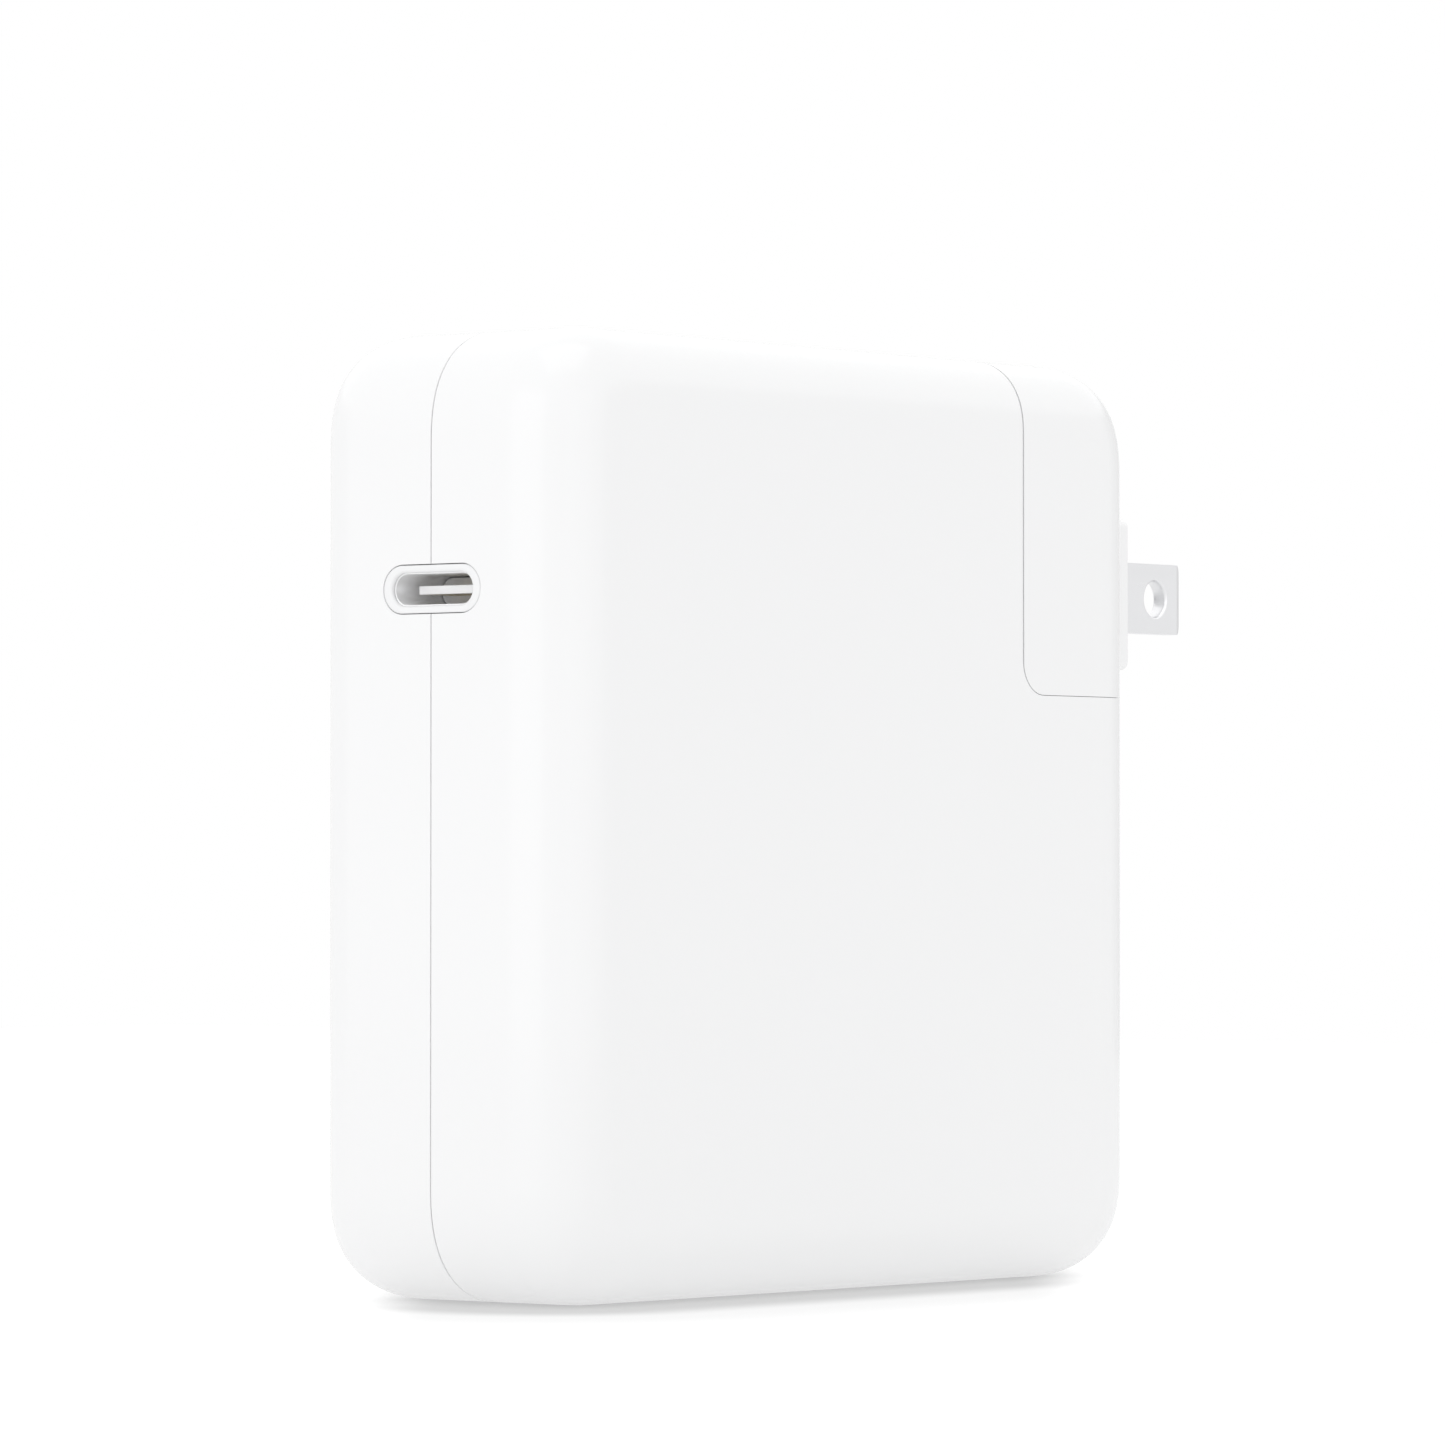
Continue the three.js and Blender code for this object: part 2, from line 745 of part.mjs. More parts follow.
function makeCapacitors() {
  const first = boardLeft + partGap;
  [first, first + bulkLength + partGap].forEach((x, k) => {
    const place = [x, boardFront - bulkRadius, bulkZ];
    const can = turned(canProfile(bulkRadius, bulkLength), "x", place);
    add(`bulk_capacitor_${k + 1}`, can, "sleeve");
  });
  const pitch = 2 * outputCanRadius + partGap / 2;
  Array.from({ length: outputCanCount }).forEach((_, k) => {
    const z = portHeight + (k - outputCanCount / 2) * pitch;
    const foot = [outputCanX, boardFront - outputCanHeight, z];
    const can = turned(canProfile(outputCanRadius, outputCanHeight), "y", foot);
    add(`output_capacitor_${k + 1}`, can, "sleeve");
  });
  const right = boardRight - partGap;
  const disc = [boardFront - yCapacitorRadius, bulkZ, yCapacitorRadius];
  add("y_capacitor", rod("x", ...disc, right - yCapacitorThickness, right), "blue");
}

// The row above the large capacitors: a bridge rectifier, a choke, a film capacitor and a fuse.
const rectifierLeft = boardLeft + standoffInset + standoffRadius + partGap;
const chokeLeft = rectifierLeft + rectifierWidth + partGap + windingThickness;
const filmLeft = chokeLeft + inputChokeSize + windingThickness + partGap;

function makeRectifier() {
  const right = rectifierLeft + rectifierWidth;
  const front = boardFront - rectifierRise;
  const outline = [
    [rectifierLeft, boardFront],
    [rectifierLeft, front + rectifierBevel],
    [rectifierLeft + rectifierBevel, front],
    [right, front],
    [right, boardFront],
  ];
  const middle = rectifierLeft + rectifierWidth / 2;
  const body = prism(outline, "z", middleRowZ, middleRowZ + rectifierThickness);
  const hole = rod("z", middle, front + 2 * rectifierHole, rectifierHole, -far, far);
  add("bridge_rectifier", body.subtract(hole), "black");
}

// A rectangular ferrite frame with a winding round each upright leg.
function makeInputChoke() {
  const right = chokeLeft + inputChokeSize;
  const top = middleRowZ + inputChokeSize;
  const rear = boardFront - inputChokeFoot;
  const front = rear - inputChokeDepth;
  const foot = [middleRowZ, middleRowZ + inputChokeLeg];
  const core = joined([
    box([chokeLeft, right], [front, rear], [middleRowZ, top]).subtract(
      box(
        [chokeLeft + inputChokeLeg, right - inputChokeLeg],
        [-far, far],
        [middleRowZ + inputChokeLeg, top - inputChokeLeg],
      ),
    ),
    box([chokeLeft, right], [rear - blend, boardFront], foot),
  ]);
  add("input_choke_core", core, "ferrite");
  const turns = [foot[1] + snugGap, top - inputChokeLeg - snugGap];
  [chokeLeft, right - inputChokeLeg].forEach((left, k) => {
    const around = (grow) =>
      roundRect([left - grow, left + inputChokeLeg + grow], [front - grow, rear + grow], grow);
    const coil = prism(around(windingThickness), "z", ...turns);
    const winding = coil.subtract(prism(around(snugGap), "z", -far, far));
    add(`input_choke_winding_${k + 1}`, winding, "copper");
  });
}

function makeFilmCapacitor() {
  const top = socketBaseZ - partGap;
  const outline = roundRect([filmLeft, notchX], [middleRowZ, top], caseCorner);
  add("film_capacitor", prism(outline, "y", boardFront - filmCapacitorRise, boardFront), "yellow");
}

function makeFuse() {
  const left = notchX + partGap;
  const top = socketBaseZ - partGap;
  const outline = roundRect([left, left + fuseWidth], [top - fuseLength, top], caseCorner);
  add("fuse", prism(outline, "y", boardFront - fuseDepth, boardFront), "black");
}

function makeOutputChoke() {
  const profile = [
    [outputChokeBore, canEdge],
    [outputChokeBore + canEdge, 0],
    [outputChokeRadius - canEdge, 0],
    [outputChokeRadius, canEdge],
    [outputChokeRadius, outputChokeRise - canEdge],
    [outputChokeRadius - canEdge, outputChokeRise],
    [outputChokeBore + canEdge, outputChokeRise],
    [outputChokeBore, outputChokeRise - canEdge],
    [outputChokeBore, canEdge],
  ];
  const standoffTop = middleRowZ + standoffInset + standoffRadius;
  const place = [
    boardLeft + outputChokeRadius,
    boardFront - outputChokeRise,
    standoffTop + snugGap + outputChokeRadius,
  ];
  add("output_choke", turned(profile, "y", place), "ferrite");
}

// Two ferrite halves close round a bobbin and its winding. Their shared axis is along Y.
function makeTransformer() {
  const front = boardFront - transformerRise;
  const middle = boardFront - transformerRise / 2;
  const plates = [front + corePlate, boardFront - corePlate];
  const outline = roundRect(
    [transformerX - transformerWidth / 2, transformerX + transformerWidth / 2],
    [portHeight - transformerLength / 2, portHeight + transformerLength / 2],
    caseCorner,
  );
  const well = cut(
    rod("y", transformerX, portHeight, coreWell, ...plates).add(
      box(
        [transformerX - coreMouth / 2, transformerX + coreMouth / 2],
        plates,
        [portHeight - transformerLength, portHeight + transformerLength],
      ),
    ),
    rod("y", transformerX, portHeight, corePost, -far, far),
  );
  const core = prism(outline, "y", front, boardFront).subtract(well);
  add("transformer_core_front", core.intersect(between("y", -far, middle)), "ferrite");
  add("transformer_core_rear", core.intersect(between("y", middle, far)), "ferrite");

  const drum = corePost + runGap;
  const flange = coreWell - runGap;
  const low = plates[0] + runGap;
  const high = plates[1] - runGap;
  const spool = [
    [drum, low],
    [flange, low],
    [flange, low + bobbinWall],
    [drum + bobbinWall, low + bobbinWall],
    [drum + bobbinWall, high - bobbinWall],
    [flange, high - bobbinWall],
    [flange, high],
    [drum, high],
    [drum, low],
  ];
  const coilInner = drum + bobbinWall + snugGap;
  const coilOuter = flange - blend;
  const coilLow = low + bobbinWall + snugGap;
  const coilHigh = high - bobbinWall - snugGap;
  const coil = [
    [coilInner, coilLow],
    [coilOuter, coilLow],
    [coilOuter, coilHigh],
    [coilInner, coilHigh],
    [coilInner, coilLow],
  ];
  const place = [transformerX, 0, portHeight];
  add("transformer_bobbin", turned(spool, "y", place), "black");
  add("transformer_winding", turned(coil, "y", place), "yellow");
}

// Two power switches on the board's rear, and the pad that takes their heat to the spreader.
function makeSwitches() {
  const left = outputCanX;
  const bottom = portHeight - switchSize / 2;
  const switches = [
    { name: "output_switch", x: left },
    { name: "primary_switch", x: left + switchSize + 2 * partGap },
  ];
  switches.forEach(({ name, x }) => {
    const outline = roundRect([x, x + switchSize], [bottom, bottom + switchSize], caseCorner);
    add(name, prism(outline, "y", boardRear, boardRear + switchRise), "black");
  });
  const pad = box(
    [left - padMargin, switches[1].x + switchSize + padMargin],
    [boardRear + switchRise, halfDepth - wall - spreaderThickness],
    [bottom - padMargin, bottom + switchSize + padMargin],
  );
  add("thermal_pad", pad, "blue");
}

function makeCircuit() {
  add("main_board", mainBoard(), "boardGreen");
  makeCapacitors();
  makeRectifier();
  makeInputChoke();
  makeFilmCapacitor();
  makeFuse();
  makeOutputChoke();
  makeTransformer();
  makeSwitches();
}

// ---- Plug module ----

const bladeSides = [
  { name: "near", side: -1 },
  { name: "far", side: 1 },
];

// Two distances from the middle, as a rising span on one side of it.
function spanOn(side, inner, outer) {
  return side > 0 ? [inner, outer] : [-outer, -inner];
}

function coverOutline(shrink) {
  const side = halfDepth - coverInset - shrink;
  const bottom = sillTopZ - coverSeat + shrink;
  return roundRect([-side, side], [bottom, bodyHeight - coverInset - shrink], coverCorner);
}

// The T-slot, open at the module's foot: a narrow way for the post's stem and a wide one behind
// it for the head.
function guideSlot() {
  const way = (radius, from, to) =>
    box([from, to], [-radius, radius], [-far, postZ]).add(postHole(radius, from, to));
  return joined([
    way(postStemRadius + runGap, moduleX - past, slotHeadX + snugGap),
    way(postHeadRadius + runGap, slotHeadX, slotBackX),
  ]);
}

function noseSolid() {
  const outline = new THREE.Shape(figureEight(0).map(([x, y]) => new THREE.Vector2(x, y)));
  const options = {
    depth: noseLength - noseEdge + blend,
    bevelThickness: noseEdge,
    bevelSize: noseEdge,
    bevelOffset: -noseEdge,
    bevelSegments: 1,
  };
  const geometry = new THREE.ExtrudeGeometry(outline, options);
  geometry.translate(0, 0, noseTipZ + noseEdge);
  return solidOf(geometry);
}

function bladeSlotBox(side, grow) {
  const y = (side * bladeSpacing) / 2;
  const half = bladeSlotHalf + grow;
  const height = [bladeSlot.bottom - grow, bladeSlot.top + grow];
  return box([bladeSlot.back, far], [y - half, y + half], height);
}

// The hollow behind the module's outer walls, with the blade slots' side walls left standing.
function moduleHollow() {
  const above = box([moduleX - past, far], [-far, far], [sillTopZ, far]);
  const room = pillow(coverInset + coverSeat).intersect(above);
  return cut(room, ...bladeSides.map(({ side }) => bladeSlotBox(side, supportWall)));
}

// Round ways for the blades' bridge and axle, open at the back so that both can be put in.
function pivotPockets() {
  const way = (radius, half) => [
    rod("y", pivotX, pivotZ, radius, -half, half),
    box([bladeSlot.back - past, pivotX], [-half, half], [pivotZ - radius, pivotZ + radius]),
  ];
  return [
    ...way(hubRadius + runGap, bladeSpacing / 2),
    ...way(axleRadius + axleGap, axleHalf + runGap),
  ];
}

// The way of each contact: a mouth for the pin, a bore for its sleeve and a flat one for its strip.
function contactWays(side) {
  const y = (side * pinSpacing) / 2;
  const half = stripWidth / 2 + fitGap;
  const floor = noseTipZ + sleeveInset - fitGap;
  const flatX = [noseX - sleeveRadius - stripThickness, noseX];
  return [
    rod("z", noseX, y, pinRadius + runGap, -far, sillTopZ),
    rod("z", noseX, y, sleeveRadius + fitGap, floor, sillTopZ + past),
    box(flatX, [y - half, y + half], [floor + sleeveInset, sillTopZ + past]),
  ];
}

// A rounded shell with a floor, a raised pad round the blades and the figure-8 nose below. The
// cover closes it towards the housing.
function plugHousing() {
  const corner = cornerBlock(moduleX, moduleZ, plugCorner - plugSeam);
  const padOutline = roundRect(
    [-padWidth / 2, padWidth / 2],
    [bladeZ - padHeight / 2, bladeZ + padHeight / 2],
    padCorner,
  );
  const pad = prism(padOutline, "x", halfWidth - blend, padFaceX);
  const outer = joined([pillow(0).intersect(corner), pad]);
  return cut(
    cut(outer, moduleHollow()).add(noseSolid()),
    prism(coverOutline(0), "x", moduleX - past, moduleX + coverThickness),
    guideSlot(),
    ...bladeSides.map(({ side }) => bladeSlotBox(side, 0)),
    ...pivotPockets(),
    ...bladeSides.flatMap(({ side }) => contactWays(side)),
  );
}

// A plate in the shell's rim, with the T-slot's boss, a rib for the detent spring and two posts
// that keep the axle in its bearings.
function plugCover() {
  const rearX = moduleX + coverThickness - blend;
  const plate = prism(coverOutline(fitGap), "x", moduleX, moduleX + coverThickness);
  const bossHalf = postHeadRadius + runGap + postBackWall;
  const boss = box(
    [rearX, slotBackX + postBackWall],
    [-bossHalf, bossHalf],
    [sillTopZ + fitGap, postZ + bossHalf],
  );
  const rib = box(
    [slotBackX + blend, springFaceX - springThickness],
    [-spineWidth / 2, spineWidth / 2],
    [pivotZ - spineHeight / 2, pivotZ + spineHeight / 2],
  );
  const stopX = pivotX - axleRadius - fitGap;
  const stopZ = [pivotZ - stopHeight / 2, pivotZ + stopHeight / 2];
  const stops = bladeSides.map(({ side }) =>
    box([rearX, stopX], spanOn(side, wallOuterY + fitGap, axleHalf + fitGap), stopZ),
  );
  const inside = pillow(coverInset + coverSeat + fitGap);
  return cut(plate.add(joined([boss, rib, ...stops]).intersect(inside)), guideSlot());
}

function detentSpring() {
  return box(
    [springFaceX - springThickness, springFaceX],
    [-springWidth / 2, springWidth / 2],
    [pivotZ - springHeight / 2, pivotZ + springHeight / 2],
  );
}

// A split sleeve for the inlet's pin, a strip up into the module and a finger beside the hub.
function plugContact(side) {
  const y = (side * pinSpacing) / 2;
  const fingerY = (side * bladeSpacing) / 2;
  const half = stripWidth / 2;
  const stripX = [noseX - sleeveRadius - stripThickness / 2, noseX - sleeveRadius + stripThickness / 2];
  const fingerTop = pivotZ - fingerDrop;
  const hubBackX = pivotX - Math.sqrt(hubRadius ** 2 - fingerDrop ** 2);
  const across = spanOn(side, pinSpacing / 2 - half, bladeSpacing / 2 + half);
  const bore = rod("z", noseX, y, pinRadius + snugGap, -far, far);
  const split = box([noseX, far], [y - sleeveSplit / 2, y + sleeveSplit / 2], [-far, far]);
  const sleeve = rod("z", noseX, y, sleeveRadius, noseTipZ + sleeveInset, sillTopZ);
  const strip = box(stripX, [y - half, y + half], [noseTipZ + 2 * sleeveInset, fingerTop]);
  const bridge = box(stripX, across, [sillTopZ + runGap, fingerTop]);
  const finger = box(
    [stripX[0], hubBackX - runGap],
    [fingerY - half / 2, fingerY + half / 2],
    [fingerTop - stripThickness, fingerTop],
  );
  return joined([cut(sleeve, bore, split), cut(strip, bore), bridge, finger]);
}

function makePlugModule() {
  add("plug_housing", plugHousing(), "whiteGloss");
  add("plug_cover", plugCover(), "whiteMatt");
  add("detent_spring", detentSpring(), "steel");
  bladeSides.forEach(({ name, side }) => {
    add(`plug_contact_${name}`, plugContact(side), "copper");
  });
}

// ---- Folding blades ----

// A blade seen from above. Both faces slope to its tip.
function bladePlan(y) {
  const half = bladeThickness / 2;
  const edge = bladeTipEdge / 2;
  const taperX = bladeTipX - bladeTipTaper;
  return [
    [moduleX, y - half],
    [taperX, y - half],
    [bladeTipX, y - edge],
    [bladeTipX, y + edge],
    [taperX, y + half],
    [moduleX, y + half],
  ];
}

// The hole near a blade's tip, which slopes outwards at both faces.
function bladeHole(y) {
  const half = bladeThickness / 2;
  const rim = bladeHoleRadius + bladeHoleEdge;
  const profile = [
    [0, -half - past],
    [rim, -half - past],
    [rim, -half],
    [bladeHoleRadius, bladeHoleEdge - half],
    [bladeHoleRadius, half - bladeHoleEdge],
    [rim, half],
    [rim, half + past],
    [0, half + past],
  ];
  return turned(profile, "y", [bladeTipX - bladeHoleFromTip, y, bladeZ]);
}

function blade(side) {
  const y = (side * bladeSpacing) / 2;
  const span = [y - bladeThickness / 2, y + bladeThickness / 2];
  const outline = roundRect(
    [pivotX, bladeTipX],
    [bladeZ - bladeWidth / 2, bladeZ + bladeWidth / 2],
    bladeTipRadius,
  );
  const hub = rod("y", pivotX, pivotZ, hubRadius, ...span);
  const axleHole = rod("y", pivotX, pivotZ, axleRadius + snugGap, -far, far);
  const tapered = prism(outline, "y", ...span).intersect(prism(bladePlan(y), "z", -far, far));
  return cut(tapered.add(hub), bladeHole(y), axleHole);
}

// The moulded bridge joins the blades. Its two flats meet the detent spring, one with the
// blades out and one with them folded.
function bladeBridge() {
  const end = bladeSpacing / 2 - bladeThickness / 2;
  const flat = hubRadius - detentFlat;
  return cut(
    rod("y", pivotX, pivotZ, hubRadius, -end, end),
    rod("y", pivotX, pivotZ, axleRadius + snugGap, -far, far),
    between("x", -far, pivotX - flat),
    between("z", pivotZ + flat, far),
  );
}

function makeBlades() {
  bladeSides.forEach(({ name, side }) => add(`prong_${name}`, blade(side), "nickel"));
  add("prong_bridge", bladeBridge(), "whiteMatt");
  add("prong_axle", rod("y", pivotX, pivotZ, axleRadius, -axleHalf, axleHalf), "steel");
}

makeHousing();
makePort();
makeInlet();
makeCircuit();
makePlugModule();
makeBlades();

export default object;
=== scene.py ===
"""Looks of a white laptop power adapter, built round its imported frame.

The adapter stands on its narrow side with the power port on the left and the plug module, with
its folding blades, in the upper right corner. Sizes are in millimetres until a shape is made.
"""

import logging
import math
from collections.abc import Callable, Iterator, Sequence
from contextlib import contextmanager
from dataclasses import dataclass, field
from enum import Enum

import bmesh
import bpy
from mathutils import Matrix, Vector


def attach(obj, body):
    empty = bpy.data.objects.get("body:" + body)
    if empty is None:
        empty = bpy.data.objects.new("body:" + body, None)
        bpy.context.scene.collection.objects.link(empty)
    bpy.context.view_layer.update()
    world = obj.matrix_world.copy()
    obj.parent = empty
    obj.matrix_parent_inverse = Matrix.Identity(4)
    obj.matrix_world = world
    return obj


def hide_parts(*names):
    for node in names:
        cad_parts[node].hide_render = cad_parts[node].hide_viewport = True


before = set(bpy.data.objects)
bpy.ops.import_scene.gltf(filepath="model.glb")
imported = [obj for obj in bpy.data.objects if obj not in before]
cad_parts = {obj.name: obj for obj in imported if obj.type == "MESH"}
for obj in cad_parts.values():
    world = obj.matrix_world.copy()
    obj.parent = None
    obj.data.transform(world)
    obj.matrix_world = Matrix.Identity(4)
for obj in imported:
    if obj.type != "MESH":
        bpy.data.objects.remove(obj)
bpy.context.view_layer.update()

LOG = logging.getLogger("adapter")
MM = 0.001
SHARP = math.radians(32)
FAR = 60.0  # past every side of the adapter, in millimetres
PAST = 1.0  # how far a cutting form starts or ends outside of what it cuts
HAIR = 0.001  # keeps a rounding just short of half a form's width
ON_FACE = 0.01  # within this, in millimetres, a place counts as on a face
ON_CURVE = 0.02  # and on a curve, whose facets lie a little inside it
SAME = 1e-7  # within this, in metres, two measures of a form are the same
MERGED = 2e-7  # two corners that a cut left are one
ON_CUT = 1e-8  # a corner lies on the plane of a cut
STRAIGHT = 1e-9  # an edge runs along an axis
SHADING_WEIGHT = 60  # of large faces against small ones, where 50 is even

Span = tuple[float, float]
Triple = tuple[float, float, float]
Value = bpy.types.NodeSocket | float | Triple


class Axis(Enum):
    """A direction along which a shape is drawn out."""

    X = 0
    Y = 1
    Z = 2


class Cut(Enum):
    """What happens to a form when it meets another one."""

    TAKE_AWAY = "DIFFERENCE"
    ADD = "UNION"
    KEEP_SHARED = "INTERSECT"


class Body(Enum):
    """The bodies of the adapter that move against each other."""

    ADAPTER = "adapter"
    MODULE = "plug_module"
    PRONGS = "prongs"


class Kind(Enum):
    """What a socket of a node group carries."""

    NUMBER = "NodeSocketFloat"
    COLOR = "NodeSocketColor"
    VECTOR = "NodeSocketVector"


# ---------------------------------------------------------------------------- forms


class Form:
    """A closed shape that other shapes carve before it becomes a piece of the adapter."""

    def __init__(self, shape: bmesh.types.BMesh) -> None:
        """Takes over a finished bmesh.

        Args:
            shape: The closed mesh, in metres. It is freed here.
        """
        mesh = bpy.data.meshes.new("form")
        bmesh.ops.recalc_face_normals(shape, faces=shape.faces[:])
        shape.to_mesh(mesh)
        shape.free()
        self.carrier = bpy.data.objects.new("form", mesh)
        bpy.context.scene.collection.objects.link(self.carrier)

    @contextmanager
    def edited(self) -> Iterator[bmesh.types.BMesh]:
        """Opens this form's mesh for changes, and takes them over at the end.

        Yields:
            The mesh, as a bmesh.
        """
        shape = bmesh.new()
        shape.from_mesh(self.carrier.data)
        shape.normal_update()
        yield shape
        shape.to_mesh(self.carrier.data)
        shape.free()

    def _meet(self, other: "Form", how: Cut) -> "Form":
        """Combines this form with another one, which is used up.

        Args:
            other: The second form.
            how: What the two make together.

        Returns:
            This form, changed.
        """
        modifier = self.carrier.modifiers.new("meet", "BOOLEAN")
        modifier.object = other.carrier
        modifier.operation = how.value
        modifier.solver = "EXACT"
        graph = bpy.context.evaluated_depsgraph_get()
        made = bpy.data.meshes.new_from_object(self.carrier.evaluated_get(graph))
        self.carrier.modifiers.clear()
        used = [self.carrier.data, other.carrier.data]
        self.carrier.data = made
        bpy.data.objects.remove(other.carrier)
        for mesh in used:
            bpy.data.meshes.remove(mesh)
        self._weld()
        return self

    def _weld(self) -> None:
        """Merges corners that a cut left side by side."""
        with self.edited() as shape:
            bmesh.ops.remove_doubles(shape, verts=shape.verts[:], dist=MERGED)
            bmesh.ops.dissolve_degenerate(shape, edges=shape.edges[:], dist=MERGED)

    def minus(self, *others: "Form") -> "Form":
        """Takes other forms out of this one.

        Args:
            others: The forms, which are used up.

        Returns:
            This form, changed.
        """
        for other in others:
            self._meet(other, Cut.TAKE_AWAY)
        return self

    def plus(self, *others: "Form") -> "Form":
        """Joins other forms to this one.

        Args:
            others: The forms, which are used up.

        Returns:
            This form, changed.
        """
        for other in others:
            self._meet(other, Cut.ADD)
        return self

    def within(self, other: "Form") -> "Form":
        """Keeps what this form shares with another one, and returns it."""
        return self._meet(other, Cut.KEEP_SHARED)

    def soften(
        self,
        width: float,
        steps: int,
        where: Callable[[Vector], bool] = lambda place: True,
        least: float = SHARP,
    ) -> "Form":
        """Rounds the sharp edges of this form.

        Args:
            width: Width of the rounding, in millimetres.
            steps: Facets across it.
            where: Says, from an edge's middle in millimetres, whether that edge is rounded.
            least: Smallest angle between two faces that counts as sharp.

        Returns:
            This form, changed.
        """
        with self.edited() as shape:
            edges = [
                edge
                for edge in shape.edges
                if len(edge.link_faces) == 2
                and edge.calc_face_angle(0.0) > least
                and where((edge.verts[0].co + edge.verts[1].co) / (2 * MM))
            ]
            round_edges(shape, edges, width, steps)
        return self

    def trim(self, point: Sequence[float], normal: Sequence[float]) -> "Form":
        """Cuts away what lies beyond a plane, and closes the cut.

        Args:
            point: A point of the plane, in millimetres.
            normal: The way towards what is cut away.

        Returns:
            This form, changed.
        """
        with self.edited() as shape:
            made = bmesh.ops.bisect_plane(
                shape,
                geom=shape.verts[:] + shape.edges[:] + shape.faces[:],
                dist=ON_CUT,
                plane_co=Vector(point) * MM,
                plane_no=Vector(normal),
                clear_outer=True,
            )
            rim = [part for part in made["geom_cut"] if isinstance(part, bmesh.types.BMEdge)]
            bmesh.ops.edgeloop_fill(shape, edges=rim)
            bmesh.ops.recalc_face_normals(shape, faces=shape.faces[:])
        return self

    def piece(
        self,
        name: str,
        finish: "Finish",
        body: Body,
        slot: str,
        stands_for: Sequence[str] = (),
        crease: float = SHARP,
    ) -> bpy.types.Object:
        """Turns this form into a named piece of the adapter.

        Args:
            name: Name of the piece.
            finish: Its finish.
            body: The moving body that it rides on.
            slot: The record's material slot, which is not used.
            stands_for: CAD nodes that it is shown in place of.
            crease: Smallest angle at which an edge is shaded sharp.

        Returns:
            The piece's object.
        """
        thing = self.carrier
        thing.name = name
        thing.data.name = name
        with self.edited() as shape:
            for face in shape.faces:
                face.smooth = True
            for edge in shape.edges:
                edge.smooth = edge.is_manifold and edge.calc_face_angle(0.0) < crease
        thing.data.materials.clear()
        thing.data.materials.append(finish.material())
        weighted = thing.modifiers.new("even_shading", "WEIGHTED_NORMAL")
        weighted.keep_sharp = True
        weighted.weight = SHADING_WEIGHT
        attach(thing, body.value)
        if stands_for:
            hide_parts(*stands_for)
        LOG.info("%s: %d faces", name, len(thing.data.polygons))
        return thing


def block_shape(x: Span, y: Span, z: Span) -> bmesh.types.BMesh:
    """The shape of a plain block between two values on each axis.

    Args:
        x: Its two ends along X, in millimetres.
        y: The same along Y.
        z: The same along Z.

    Returns:
        The block, as a bmesh.
    """
    spans = (x, y, z)
    size = [(high - low) * MM for low, high in spans]
    middle = Vector([(high + low) / 2 * MM for low, high in spans])
    shape = bmesh.new()
    place = Matrix.Translation(middle) @ Matrix.Diagonal((*size, 1.0))
    bmesh.ops.create_cube(shape, size=1.0, matrix=place)
    return shape


def block(x: Span, y: Span, z: Span) -> Form:
    """A plain block between two values on each axis."""
    return Form(block_shape(x, y, z))


def edges_along(shape: bmesh.types.BMesh, axis: Axis) -> list[bmesh.types.BMEdge]:
    """The straight edges of a block that run along one axis.

    Args:
        shape: The block.
        axis: The axis.

    Returns:
        The edges.
    """
    others = [k for k in range(3) if k != axis.value]
    return [
        edge
        for edge in shape.edges
        if all(abs((edge.verts[1].co - edge.verts[0].co)[k]) < STRAIGHT for k in others)
    ]


def round_edges(
    shape: bmesh.types.BMesh,
    edges: list[bmesh.types.BMEdge],
    reach: float,
    steps: int,
    profile: float = 0.5,
) -> None:
    """Rounds edges of a bmesh.

    Args:
        shape: The bmesh.
        edges: Its edges to round.
        reach: How far the rounding reaches along each side, in millimetres.
        steps: Facets across it.
        profile: 0.5 for a circle, and more for a squarer curve.
    """
    bmesh.ops.bevel(
        shape,
        geom=edges,
        offset=reach * MM,
        offset_type="OFFSET",
        segments=steps,
        profile=profile,
        affect="EDGES",
        clamp_overlap=True,
        material=-1,
    )


def in_curve(dx: float, dz: float, radius: float) -> bool:
    """Says whether a place, given from the centre, lies on a corner's lower left quarter."""
    in_quarter = dx < ON_FACE and dz < ON_FACE
    return in_quarter and abs(math.hypot(dx, dz) - radius) < ON_CURVE


def rounded_block(x: Span, y: Span, z: Span, axis: Axis, radius: float, steps: int = 12) -> Form:
    """A block whose four edges along one axis are rounded.

    Args:
        x: Its two ends along X, in millimetres.
        y: The same along Y.
        z: The same along Z.
        axis: The axis that the rounded edges run along.
        radius: Radius of the rounding.
        steps: Facets across it.

    Returns:
        The block.
    """
    shape = block_shape(x, y, z)
    round_edges(shape, edges_along(shape, axis), radius, steps)
    bmesh.ops.remove_doubles(shape, verts=shape.verts[:], dist=SAME)
    return Form(shape)


def rod(axis: Axis, centre: Span, radius: float, along: Span, steps: int = 64) -> Form:
    """A round rod.

    Args:
        axis: The direction it runs in.
        centre: Its place on the two other axes, in the order X, Y, Z.
        radius: Its radius.
        along: Where it starts and ends.
        steps: Facets round it.

    Returns:
        The rod.
    """
    turn = {
        Axis.X: Matrix.Rotation(math.pi / 2, 4, "Y"),
        Axis.Y: Matrix.Rotation(-math.pi / 2, 4, "X"),
        Axis.Z: Matrix.Identity(4),
    }[axis]
    place = list(centre)
    place.insert(axis.value, (along[0] + along[1]) / 2)
    shape = bmesh.new()
    bmesh.ops.create_cone(
        shape,
        cap_ends=True,
        segments=steps,
        radius1=radius * MM,
        radius2=radius * MM,
        depth=(along[1] - along[0]) * MM,
        matrix=Matrix.Translation(Vector(place) * MM) @ turn,
    )
    return Form(shape)


